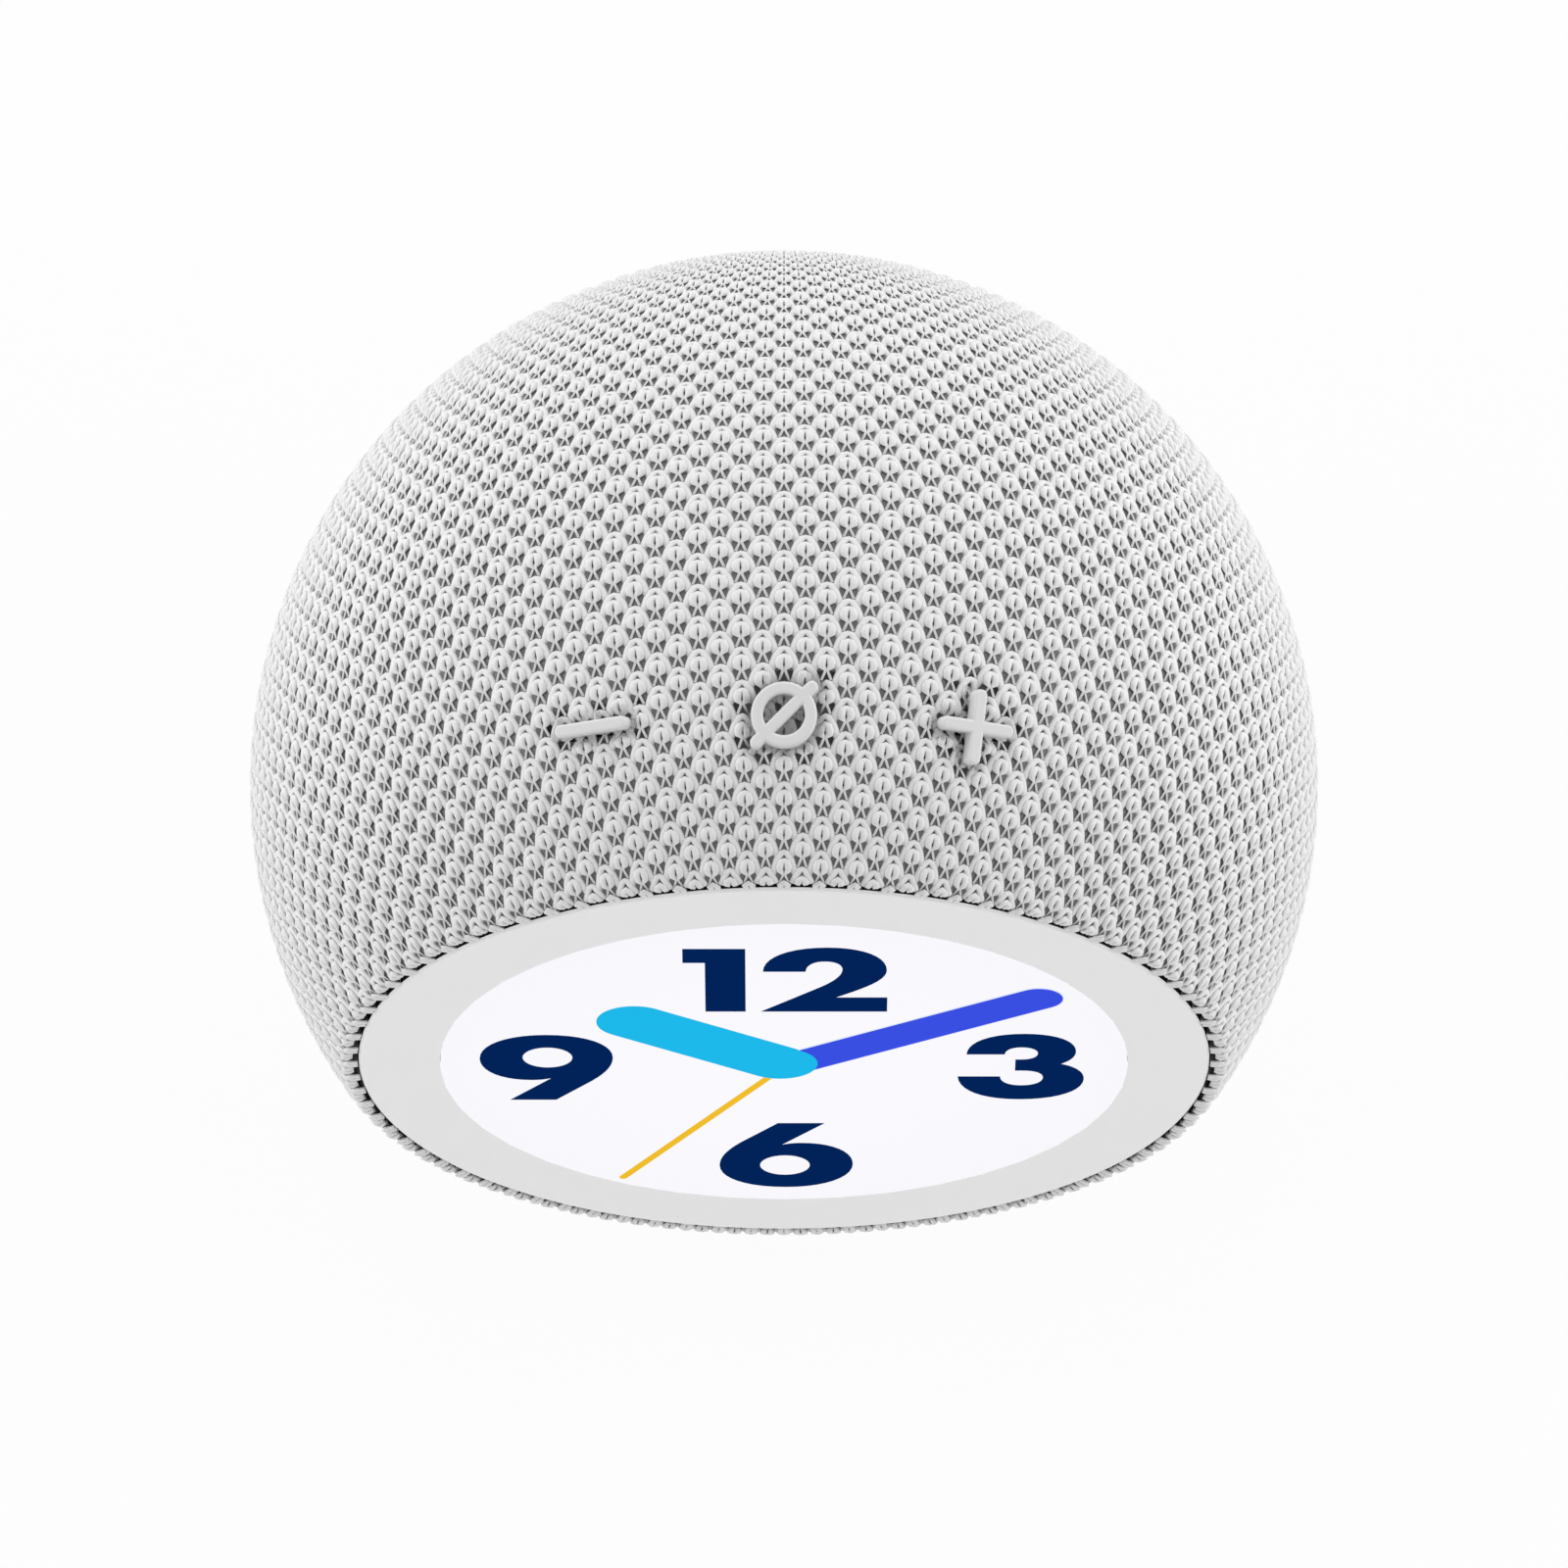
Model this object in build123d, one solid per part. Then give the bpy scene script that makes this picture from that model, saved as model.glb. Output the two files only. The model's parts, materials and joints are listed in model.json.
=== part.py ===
"""A speaking ball clock: a knit-covered globe with a tilted round screen, three crown keys and a driver.

Millimetres and degrees. The origin is on the table under the ball's centre, +Z is up, the face looks
towards -Y and +X is on the viewer's right. Pieces are drawn about the ball's centre, those of the face
along its own tilted axis, and all are lifted to their height when they are written.
"""

import os
from math import cos, hypot, radians, sin, sqrt

from build123d import *

# Ball, knit and shell
BALL_RADIUS = 55.0  # outside of the knit
KNIT_THICKNESS = 1.7
KNIT_FILM = 0.15  # bonding film under the knit
KNIT_EDGE_ROUND = 0.4  # rolled edge beside the bezel
SHELL_WALL = 2.2
LAP_DEPTH = 2.0  # tongue of the rear shell inside the front shell
LAP_CLEARANCE = 0.1

# Face, in planes along its axis, from its front backwards
FACE_TILT = 17.8  # the face looks up by this
FACE_PLANE = 31.5  # front of bezel and lens from the ball's centre
KNIT_BAND = 1.8  # knit and gap that show round the bezel
BEZEL_WIDTH = 8.3  # from the bezel's edge to the picture
LENS_THICKNESS = 1.75  # of the bezel too
LENS_FIT = 0.05  # lens to the bezel's opening
BEZEL_CHAMFER = 0.3
ADHESIVE_THICKNESS = 0.25
ADHESIVE_INSET = 0.3
FRAME_FLANGE = 1.5
FRAME_SKIRT_WALL = 1.2
FRAME_SKIRT_DEPTH = 2.4
BEZEL_CLEARANCE = 0.15
LIP_WALL = 0.45
LIP_DROP = 1.0  # dark lip below the bezel's front
KNIT_FRONT_DROP = 0.3  # knit edge below the bezel's front
KNIT_EDGE_CLEARANCE = 0.15
CELL_MARGIN = 1.6  # display cell past the picture
CELL_CLEARANCE = 0.4
CELL_THICKNESS = 1.4
BACKLIGHT_THICKNESS = 3.25
FOAM_THICKNESS = 0.6
FOAM_WIDTH = 5.4
BRACKET_THICKNESS = 1.0
BRACKET_WINDOW_RADIUS = 10.0
BRACKET_HOLE_RADIUS = 4.5
BRACKET_HOLES = 6
STANDOFF_HEIGHT = 4.0
STANDOFF_RADIUS = 2.6
BOARD_THICKNESS = 1.2
BOARD_INSET = 3.6  # main board inside the display cell's edge
BOARD_HOLE_INSET = 4.0

# Electronics on the main board
SHIELD_SIZE = (22.0, 18.0, 1.8)  # processor shield, on the back
SHIELD_UP = 3.0
RADIO_SIZE = (16.0, 12.0, 2.4)  # radio shield, on the front
RADIO_PLACE = (-14.0, 6.0)
FLEX_THICKNESS = 0.2
FLEX_BEND = 1.0
DISPLAY_FLEX_WIDTH = 13.0
DISPLAY_FLEX_START = 12.0  # below the face axis, on the backlight's back
CONNECTOR_DEPTH = 3.0
CONNECTOR_HEIGHT = 1.6
CONNECTOR_MARGIN = 1.5  # connector past its flex
DISPLAY_CONNECTOR_INSET = 6.0  # from the main board's edge
KEY_FLEX_WIDTH = 6.0
KEY_CONNECTOR_INSET = 3.5
LEAD_SOCKET_SIZE = (4.0, 4.0, 3.0)
LEAD_RADIUS = 0.9
LEAD_SOCKET_INSET = 6.0
POWER_SOCKET_UP = 10.0
SPEAKER_SOCKET_UP = -6.0
BOX_GAP = 1.5  # between the board's parts and the speaker box

# Base, grille and foot
BASE_RADIUS = 29.0  # globe's outside where it meets the base
BASE_RIM = 2.6  # base plate past that
BASE_THICKNESS = 1.6
FOOT_INSET = 1.2  # foot pad inside the base plate's edge
FOOT_RECESS = 0.6
FOOT_PROUD = 0.6
FOOT_CLEARANCE = 0.15
FOOT_CHAMFER = 0.3
KNIT_BASE_CLEARANCE = 0.1
GRILLE_HEIGHT = 7.0
GRILLE_SLOTS = 36
GRILLE_SLOT_WIDTH = 2.8
GRILLE_SLOT_MARGIN = 1.3  # left above and below each slot
GRILLE_LIP = 1.5
GRILLE_LIP_WALL = 1.4
GRILLE_CLEARANCE = 0.3
BASE_BOSS_RADIUS = 2.6
BASE_BOSS_HEIGHT = 6.0
BASE_SPIGOT_HEIGHT = 1.2
BASE_SPIGOT_WALL = 1.4

# Speaker, in heights above the driver flange's lower face
CAGE_HEIGHT = 12.5  # from the base up to the driver's gasket
CAGE_WALL = 3.5
CAGE_WINDOWS = 8
CAGE_RIB = 3.6
CAGE_RING = 2.0  # closed ring above the windows
CAGE_FLOOR = 1.2  # closed ring below the windows
DEFLECTOR_RADIUS = 14.0
DEFLECTOR_HEIGHT = 8.0
DEFLECTOR_TIP = 0.8
GASKET_THICKNESS = 0.8
DRIVER_RADIUS = 21.0
DRIVER_FLANGE = 1.2
FLANGE_BORE = 16.0
BASKET_WALL = 1.2
BASKET_HEIGHT = 9.0
BASKET_NECK = 12.2  # inside of the basket's wall at its top
BASKET_PLATE = 1.2
BASKET_WINDOWS = 6
BASKET_WINDOW_WIDTH = 7.0
SPIDER_LEDGE = 1.5
SPIDER_HEIGHT = 7.2
SPIDER_THICKNESS = 0.3
SPIDER_WAVE = 0.6
SPIDER_WAVES = 3
CUP_RADIUS = 12.0
CUP_HEIGHT = 12.0
CUP_CAP = 2.5
GAP_OUTSIDE = 0.6  # coil to cup
GAP_INSIDE = 0.35  # coil to pole plate
COIL_RADIUS = 6.65
FORMER_WALL = 0.15
WINDING_WALL = 0.5
WINDING_HEIGHT = 3.8
FORMER_LOW = 4.5
FORMER_HIGH = 13.5
POLE_THICKNESS = 2.5
POLE_RECESS = 0.5  # pole plate behind the cup's mouth
MAGNET_INSET = 0.3
CONE_WALL = 0.5
CONE_RIM_HEIGHT = 0.6
CONE_RIM_WIDTH = 1.3
CONE_NECK_HEIGHT = 6.0
CONE_GAP = 1.1  # cone's edge to the flange bore
DUST_CAP_RISE = 1.8
GLUE = 0.06  # bond lines inside the moving set
SURROUND_THICKNESS = 0.4
SURROUND_LAND = 1.7
BOX_RADIUS = 24.0
BOX_WALL = 2.0
BOX_HEIGHT = 44.0
BOX_BORE = 17.5
BOX_ROUND = 2.0
LUG_REACH = 2.5  # lug centre past the box wall
LUG_RADIUS = 3.0
LUG_THICKNESS = 2.5
LUG_BOSS_LENGTH = 10.0
LUG_BOSS_RADIUS = 2.8
TERMINAL_SIZE = (4.0, 5.0, 2.0)
LEAD_UP = 25.0  # speaker lead leaves the box this far above the driver
LEAD_HOLE_CLEARANCE = 0.3
LEAD_BEND = 2.5
LEAD_RUN = 7.5  # straight run before a socket
LEAD_TERMINAL_INSET = 1.0  # lead inside the terminal's outer end

# Keys on the crown
SIDE_KEY_ANGLE = 20.0  # from the crown
SIDE_KEY_FORWARD = 0.75
SIDE_KEY_TURN = 6.5  # side keys follow the ring round the face
KEY_PROUD = 1.0  # key tops above the knit
KEY_TRAVEL = 0.4
KEY_FLOAT = 0.75  # left under a pressed key
KEY_KNIT_GAP = 0.4
KEY_ROUND = 0.3
KEY_CORNER = 0.58
BAR_LENGTH = 7.5
BAR_WIDTH = 1.3
RING_RADIUS = 3.25
RING_WIDTH = 1.2
SLASH_LENGTH = 8.95
SLASH_WIDTH = 1.2
SLASH_ANGLE = 45.0
BLADE_LENGTH = 5.2
BLADE_WIDTH = 1.0
BLADE_CLEARANCE = 0.3
BLADE_SOCKET = 0.5
BLADE_ROOT = 0.3  # blade inside the key's cap
SOCKET_CLEARANCE = 0.05
PLUNGER_RADIUS = 3.6
PLUNGER_FLANGE = 1.2
PLUNGER_GAP = 0.25
PLUNGER_NOSE = 1.5
SWITCH_SIZE = 4.5
SWITCH_BODY = 1.7
SWITCH_HEIGHT = 3.0  # actuator top above the key board
ACTUATOR_RADIUS = 1.1
ACTUATOR_CLEARANCE = 0.1
ACTUATOR_DEPTH = 0.9  # actuator inside the switch body
KEY_BOARD_WIDTH = 13.0
KEY_BOARD_END = 5.6  # key board past its end switches
KEY_BOARD_CORNER = 2.0
KEY_POST_OFFSET = 11.0
KEY_POST_RADIUS = 2.2
MIC_SIZE = (3.0, 2.6, 1.0)
MIC_PLACE = (5.6, 3.2)
MIC_PORT = 0.6
MIC_BOOT_WALL = 0.9
MIC_BOOT_GAP = 0.2

# Rear cap and power inlet
REAR_RADIUS = 19.5  # outside of the cap
REAR_SEAT = 3.0  # cap's rim on the shell
REAR_CAP_DROP = 0.5  # cap below the knit
REAR_KNIT_GAP = 0.4
REAR_CLEARANCE = 0.3
REAR_SKIRT_WALL = 2.0
REAR_SKIRT_DEPTH = 6.0
REAR_BEAD = 0.8
REAR_BEAD_HEIGHT = 1.0
REAR_BEAD_GAP = 0.4  # snap bead to the shell's inside
REAR_SLITS = 4
REAR_SLIT_WIDTH = 3.0
INLET_SIZE = (8.94, 3.26)  # standard receptacle
INLET_WALL = 0.25
INLET_DEPTH = 7.3
INLET_CORNER = 1.6
INLET_DROP = 0.2  # receptacle's mouth below the cap
INLET_CLEARANCE = 0.2
INLET_TONGUE = (6.7, 0.7, 4.5)
INLET_BOARD_SIZE = (16.0, 14.0)
INLET_BOARD_SET = 2.4  # board's end behind the inlet's mouth
INLET_RAIL = 1.6
INLET_RAIL_LIP = 1.3
INLET_RAIL_CLEARANCE = 0.1
INLET_CONNECTOR_SIZE = (6.0, 3.0, 4.0)
POWER_LEAD_ROUTE = ((0.0, 0.0, 6.0), (18.0, 2.0, 8.0), (32.0, 6.0, 24.0), (31.0, 10.0, 38.0))

# Screws and their holes
SCREW_RADIUS = 1.0
SCREW_HEAD_RADIUS = 1.9
SCREW_HEAD = 0.8
SCREW_LENGTH = 5.0
PILOT_CLEARANCE = 0.05
HOLE_CLEARANCE = 0.2
HEAD_CLEARANCE = 0.2
BOSS_CLEARANCE = 0.1
BOSS_LENGTH = 8.0
RIB_WIDTH = 2.0

# Spheres and planes worked out from the sizes above
SHELL_RADIUS = BALL_RADIUS - KNIT_THICKNESS - KNIT_FILM
SHELL_INSIDE = SHELL_RADIUS - SHELL_WALL
SHELL_MIDDLE = SHELL_RADIUS - SHELL_WALL / 2
BASE_DROP = sqrt(SHELL_RADIUS**2 - BASE_RADIUS**2)
CENTRE_HEIGHT = BASE_DROP + BASE_THICKNESS + FOOT_PROUD
GRILLE_TOP = GRILLE_HEIGHT - BASE_DROP

BEZEL_RADIUS = sqrt(BALL_RADIUS**2 - FACE_PLANE**2) - KNIT_BAND
SCREEN_RADIUS = BEZEL_RADIUS - BEZEL_WIDTH
CELL_RADIUS = SCREEN_RADIUS + CELL_MARGIN
LENS_BACK = FACE_PLANE - LENS_THICKNESS
FRAME_BED = LENS_BACK - ADHESIVE_THICKNESS
SHELL_RIM = FRAME_BED - FRAME_FLANGE
CELL_BACK = LENS_BACK - CELL_THICKNESS
BACKLIGHT_BACK = CELL_BACK - BACKLIGHT_THICKNESS
BRACKET_FRONT = BACKLIGHT_BACK - FOAM_THICKNESS
BRACKET_BACK = BRACKET_FRONT - BRACKET_THICKNESS
BOARD_FRONT = BRACKET_BACK - STANDOFF_HEIGHT
BOARD_BACK = BOARD_FRONT - BOARD_THICKNESS
BOX_FRONT = BOARD_BACK - SHIELD_SIZE[2] - BOX_GAP
FRAME_BORE = CELL_RADIUS + CELL_CLEARANCE
SKIRT_RADIUS = FRAME_BORE + FRAME_SKIRT_WALL
FRAME_RADIUS = BEZEL_RADIUS + BEZEL_CLEARANCE + LIP_WALL
RIM_INSIDE = sqrt(SHELL_INSIDE**2 - SHELL_RIM**2)
FACE_SCREW_CIRCLE = (SKIRT_RADIUS + RIM_INSIDE) / 2
FACE_BOSS_RADIUS = (RIM_INSIDE - SKIRT_RADIUS) / 2 - BOSS_CLEARANCE
BOARD_RADIUS = CELL_RADIUS - BOARD_INSET
BOARD_SCREW_CIRCLE = BOARD_RADIUS - BOARD_HOLE_INSET
DISPLAY_CONNECTOR_DOWN = BOARD_RADIUS - DISPLAY_CONNECTOR_INSET
KEY_CONNECTOR_UP = BOARD_RADIUS - KEY_CONNECTOR_INSET
POWER_SOCKET_PLACE = (BOARD_RADIUS - LEAD_SOCKET_INSET, POWER_SOCKET_UP)
SPEAKER_SOCKET_PLACE = (LEAD_SOCKET_INSET - BOARD_RADIUS, SPEAKER_SOCKET_UP)
PILOT_RADIUS = SCREW_RADIUS + PILOT_CLEARANCE
HOLE_RADIUS = SCREW_RADIUS + HOLE_CLEARANCE
RECESS_RADIUS = SCREW_HEAD_RADIUS + HEAD_CLEARANCE

CAGE_TOP = CAGE_HEIGHT - BASE_DROP
DRIVER_SEAT = CAGE_TOP + GASKET_THICKNESS
BOX_FLOOR = DRIVER_SEAT + DRIVER_FLANGE
CAGE_RADIUS = DRIVER_RADIUS + CAGE_WALL / 2 - BASKET_WALL / 2
LUG_CIRCLE = BOX_RADIUS + LUG_REACH
BASE_SCREW_CIRCLE = sqrt(SHELL_INSIDE**2 - BASE_DROP**2) + BASE_BOSS_RADIUS - BOSS_CLEARANCE
MAGNET_TOP = BASKET_HEIGHT + BASKET_PLATE + CUP_HEIGHT - CUP_CAP
CUP_MOUTH = BASKET_HEIGHT + BASKET_PLATE
CONE_RADIUS = FLANGE_BORE - CONE_GAP
COIL_OUTSIDE = COIL_RADIUS + FORMER_WALL + WINDING_WALL

CAP_BASE = SHELL_RADIUS + KEY_TRAVEL + KEY_FLOAT
CAP_HEIGHT = BALL_RADIUS + KEY_PROUD - CAP_BASE
SIDE_KEY_REACH = CAP_BASE * hypot(sin(radians(SIDE_KEY_ANGLE)), SIDE_KEY_FORWARD / BALL_RADIUS)
SIDE_PLUNGER_TOP = sqrt(SHELL_INSIDE**2 - (SIDE_KEY_REACH + PLUNGER_RADIUS) ** 2) - PLUNGER_GAP
MUTE_PLUNGER_TOP = sqrt(SHELL_INSIDE**2 - PLUNGER_RADIUS**2) - PLUNGER_GAP
ACTUATOR_TOP = SIDE_PLUNGER_TOP - PLUNGER_FLANGE
KEY_BOARD_TOP = ACTUATOR_TOP - SWITCH_HEIGHT
KEY_BOARD_BACK = KEY_BOARD_TOP - BOARD_THICKNESS
KEY_BOARD_LENGTH = 2 * (SIDE_KEY_REACH + KEY_BOARD_END)

REAR_OUTSIDE = BALL_RADIUS - REAR_CAP_DROP
REAR_UNDERSIDE = SHELL_RADIUS + KNIT_FILM
REAR_BORE = REAR_RADIUS - REAR_SEAT
INLET_MOUTH = INLET_DROP - REAR_OUTSIDE
INLET_BOARD_TOP = -INLET_SIZE[1] / 2

BOTTOM = (Align.CENTER, Align.CENTER, Align.MIN)
FACE = Plane((0, 0, 0), x_dir=(1, 0, 0), z_dir=(0, -cos(radians(FACE_TILT)), sin(radians(FACE_TILT))))
FRAME_SCREW_ANGLES = (45, 135, 225, 315)
CROSS_ANGLES = (0, 90, 180, 270)
FAR = 4 * BALL_RADIUS


# Shared shapes

def disc(radius, low, high):
    """Round bar about Z between two heights."""
    return Pos(0, 0, low) * Cylinder(radius, high - low, align=BOTTOM)


def tube(outer, inner, low, high):
    """Ring about Z between two heights."""
    return disc(outer, low, high) - disc(inner, low, high)


def block(size, place, low):
    """Box of size (x, y, z) centred on place (x, y), standing on the height low."""
    return Pos(place[0], place[1], low) * Box(*size, align=BOTTOM)


def prism(outline, low, high):
    """Outline in the XY plane raised between two heights."""
    return Pos(0, 0, low) * extrude(outline, amount=high - low)


def around(piece, radius, angles):
    """Copies of a piece moved out along X and turned about Z."""
    return [Rot(0, 0, angle) * Pos(radius, 0, 0) * piece for angle in angles]


def even_angles(count):
    """Angles that share out a full turn, from 0."""
    return [360 * i / count for i in range(count)]


def between_angles(count):
    """Angles that share out a full turn, from half a step."""
    return [360 * (i + 0.5) / count for i in range(count)]


def area(left, right, low, high):
    """Rectangle in a half section, by its radii and heights."""
    return Pos((left + right) / 2, (low + high) / 2) * Rectangle(right - left, high - low)


def wall(outer, inner, low, high):
    """Half section of a hollow ball between two heights."""
    return (Circle(outer) - Circle(inner)) & area(0, outer, low, high)


def turned(section):
    """Half section, drawn with radius along X and height along Y, turned about Z."""
    return revolve(Plane.XZ * section, Axis.Z)


def screw(length):
    """Pan-head screw with its head on Z 0 and its shank below."""
    return disc(SCREW_HEAD_RADIUS, 0, SCREW_HEAD) + disc(SCREW_RADIUS, -length, 0)


def group(pieces):
    """Separate equal solids kept as one node."""
    return Compound([solid for piece in pieces for solid in piece.solids()])


def below_grille():
    """Everything under the plane where the globe meets its grille ring."""
    return block((FAR, FAR, FAR), (0, 0), GRILLE_TOP - FAR)


def ball(radius):
    """Solid ball about the centre."""
    return Sphere(radius)


# Keys: places, outlines and blades

def key_up(side):
    """Outward direction of a key: -1 for minus, 0 for mute, 1 for plus."""
    x = side * sin(radians(SIDE_KEY_ANGLE))
    y = -abs(side) * SIDE_KEY_FORWARD / BALL_RADIUS
    return Vector(x, y, sqrt(1 - x**2 - y**2))


def key_plane(side):
    """Plane of a key's underside, turned with its symbol."""
    flat = Plane(key_up(side) * CAP_BASE, x_dir=(1, 0, 0), z_dir=key_up(side))
    return flat.rotated((0, 0, -side * SIDE_KEY_TURN))


def over_key(side):
    """Place in plan of a key's blade, under the middle of its cap and turned with its symbol."""
    place = key_up(side) * CAP_BASE
    return Pos(place.X, place.Y, 0) * Rot(0, 0, -side * SIDE_KEY_TURN)


def bar(length, width, grow):
    """Rounded bar, made larger all round by grow."""
    return RectangleRounded(length + 2 * grow, width + 2 * grow, KEY_CORNER + grow)


def minus_symbol(grow=0.0):
    return [bar(BAR_LENGTH, BAR_WIDTH, grow)]


def plus_symbol(grow=0.0):
    return [Rot(0, 0, turn) * stroke for turn in (0, 90) for stroke in minus_symbol(grow)]


def mute_symbol(grow=0.0):
    ring = Circle(RING_RADIUS + grow) - Circle(RING_RADIUS - RING_WIDTH - grow)
    return [ring, Rot(0, 0, SLASH_ANGLE) * bar(SLASH_LENGTH, SLASH_WIDTH, grow)]


def minus_blade(grow=0.0):
    return Rectangle(BLADE_LENGTH + 2 * grow, BLADE_WIDTH + 2 * grow)


def plus_blade(grow=0.0):
    return minus_blade(grow) + Rot(0, 0, 90) * minus_blade(grow)


def mute_blade(grow=0.0):
    return Rot(0, 0, SLASH_ANGLE) * minus_blade(grow)


KEYS = {
    "minus": (-1, minus_symbol, minus_blade, SIDE_PLUNGER_TOP),
    "mute": (0, mute_symbol, mute_blade, MUTE_PLUNGER_TOP),
    "plus": (1, plus_symbol, plus_blade, SIDE_PLUNGER_TOP),
}


def rounded(stroke):
    """One stroke of a symbol, raised, with its top edges softened."""
    cap = extrude(stroke, amount=CAP_HEIGHT)
    return fillet(cap.faces().sort_by(Axis.Z)[-1].edges(), KEY_ROUND)


def key(side, symbol, blade, plunger_top):
    """Raised symbol on a blade that goes down into its plunger."""
    strokes = [key_plane(side) * rounded(stroke) for stroke in symbol()]
    stem = over_key(side) * prism(blade(), plunger_top - BLADE_SOCKET, BALL_RADIUS)
    under_cap = key_plane(side) * block((FAR, FAR, FAR), (0, 0), BLADE_ROOT - FAR)
    return (stem & under_cap) + strokes


def plunger(side, blade, plunger_top):
    """Flange that keeps the key in the shell, with a nose down to its switch."""
    body = disc(PLUNGER_RADIUS, plunger_top - PLUNGER_FLANGE, plunger_top)
    if plunger_top - PLUNGER_FLANGE > ACTUATOR_TOP:
        body += disc(PLUNGER_NOSE, ACTUATOR_TOP, plunger_top)
    body -= prism(blade(SOCKET_CLEARANCE), plunger_top - BLADE_SOCKET, plunger_top + BLADE_SOCKET)
    return over_key(side) * body


def actuator(side):
    """Switch button under a plunger."""
    low = KEY_BOARD_TOP + SWITCH_BODY - ACTUATOR_DEPTH
    return over_key(side) * disc(ACTUATOR_RADIUS, low, ACTUATOR_TOP)


def switch_bodies():
    """One push switch under each key, open at the top for its actuator."""
    body = block((SWITCH_SIZE, SWITCH_SIZE, SWITCH_BODY), (0, 0), KEY_BOARD_TOP)
    well = KEY_BOARD_TOP + SWITCH_BODY - ACTUATOR_DEPTH - KEY_TRAVEL - ACTUATOR_CLEARANCE
    body -= disc(ACTUATOR_RADIUS + ACTUATOR_CLEARANCE, well, ACTUATOR_TOP)
    return group(over_key(side) * body for side, *_ in KEYS.values())


def key_slots():
    """Openings in the shell for the blades."""
    return [over_key(side) * prism(blade(BLADE_CLEARANCE), top, FAR) for side, _, blade, top in KEYS.values()]


def mic_places():
    return [Pos(side * MIC_PLACE[0], MIC_PLACE[1], 0) for side in (-1, 1)]


def key_posts():
    return [Pos(side * KEY_POST_OFFSET, 0, 0) for side in (-1, 1)]


def key_board():
    """Board under the crown, on two posts of the front shell."""
    outline = RectangleRounded(KEY_BOARD_LENGTH, KEY_BOARD_WIDTH, KEY_BOARD_CORNER)
    board = prism(outline, KEY_BOARD_BACK, KEY_BOARD_TOP)
    return board - [post * disc(HOLE_RADIUS, -FAR, FAR) for post in key_posts()]


def key_board_screws():
    upright = Pos(0, 0, KEY_BOARD_BACK) * Rot(180, 0, 0) * screw(SCREW_LENGTH)
    return group(post * upright for post in key_posts())


def microphones():
    return group(place * block(MIC_SIZE, (0, 0), KEY_BOARD_TOP) for place in mic_places())


def mic_boots():
    """Soft tubes that lead sound from the shell's ports to the microphones."""
    outer = MIC_PORT + MIC_BOOT_WALL
    top = sqrt(SHELL_INSIDE**2 - (hypot(*MIC_PLACE) + outer) ** 2) - MIC_BOOT_GAP
    boot = tube(outer, MIC_PORT, KEY_BOARD_TOP + MIC_SIZE[2], top)
    return group(place * boot for place in mic_places())


# Knit and globe

def knit_cover():
    """Knit as one even layer, open at the face, the base, the rear cap and the keys."""
    front = FACE_PLANE - KNIT_FRONT_DROP
    edge = FRAME_RADIUS + KNIT_EDGE_CLEARANCE
    section = wall(BALL_RADIUS, BALL_RADIUS - KNIT_THICKNESS, -BALL_RADIUS, front)
    section -= area(0, edge, SHELL_RIM, FAR)
    section -= area(0, REAR_RADIUS + REAR_KNIT_GAP, -FAR, 0)
    corner = section.vertices().group_by(Axis.Y)[-1].sort_by(Axis.X)[-1]
    cover = FACE * turned(fillet(corner, KNIT_EDGE_ROUND))
    cover -= block((FAR, FAR, FAR), (0, 0), KNIT_BASE_CLEARANCE - BASE_DROP - FAR)
    for side, symbol, _, _ in KEYS.values():
        slot = [prism(stroke, -BALL_RADIUS / 2, BALL_RADIUS / 2) for stroke in symbol(KEY_KNIT_GAP)]
        cover -= [key_plane(side) * stroke for stroke in slot]
    return cover


def front_boss():
    """Screw boss behind the shell's rim, with a rib out to the wall."""
    low = SHELL_RIM - BOSS_LENGTH
    rib_length = SHELL_RADIUS - FACE_SCREW_CIRCLE
    rib = block((rib_length, RIB_WIDTH, BOSS_LENGTH), (rib_length / 2, 0), low)
    return disc(FACE_BOSS_RADIUS, low, SHELL_RIM) + rib


def front_shell():
    """Front globe half, with bosses for the frame and posts for the key board."""
    section = wall(SHELL_RADIUS, SHELL_INSIDE, 0, SHELL_RIM)
    section -= wall(SHELL_MIDDLE + LAP_CLEARANCE, SHELL_INSIDE / 2, 0, LAP_DEPTH + LAP_CLEARANCE)
    inside = ball(SHELL_MIDDLE)
    shell = turned(section)
    shell += [boss & inside for boss in around(front_boss(), FACE_SCREW_CIRCLE, FRAME_SCREW_ANGLES)]
    pilot = disc(PILOT_RADIUS, SHELL_RIM - BOSS_LENGTH, FAR)
    shell = FACE * (shell - around(pilot, FACE_SCREW_CIRCLE, FRAME_SCREW_ANGLES))
    shell += [post * disc(KEY_POST_RADIUS, KEY_BOARD_TOP, FAR) & inside for post in key_posts()]
    post_hole = disc(PILOT_RADIUS, 0, KEY_BOARD_BACK + SCREW_LENGTH + PILOT_CLEARANCE)
    shell -= [post * post_hole for post in key_posts()]
    shell -= key_slots()
    shell -= [place * disc(MIC_PORT, KEY_BOARD_TOP, FAR) for place in mic_places()]
    return shell - below_grille()


def rear_shell():
    """Rear globe half, with the lap tongue and the opening for the rear cap."""
    section = wall(SHELL_RADIUS, SHELL_INSIDE, -SHELL_RADIUS, 0)
    section += wall(SHELL_MIDDLE, SHELL_INSIDE, -LAP_DEPTH, LAP_DEPTH)
    section -= area(0, REAR_BORE, -FAR, 0)
    return FACE * turned(section) - below_grille()


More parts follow.
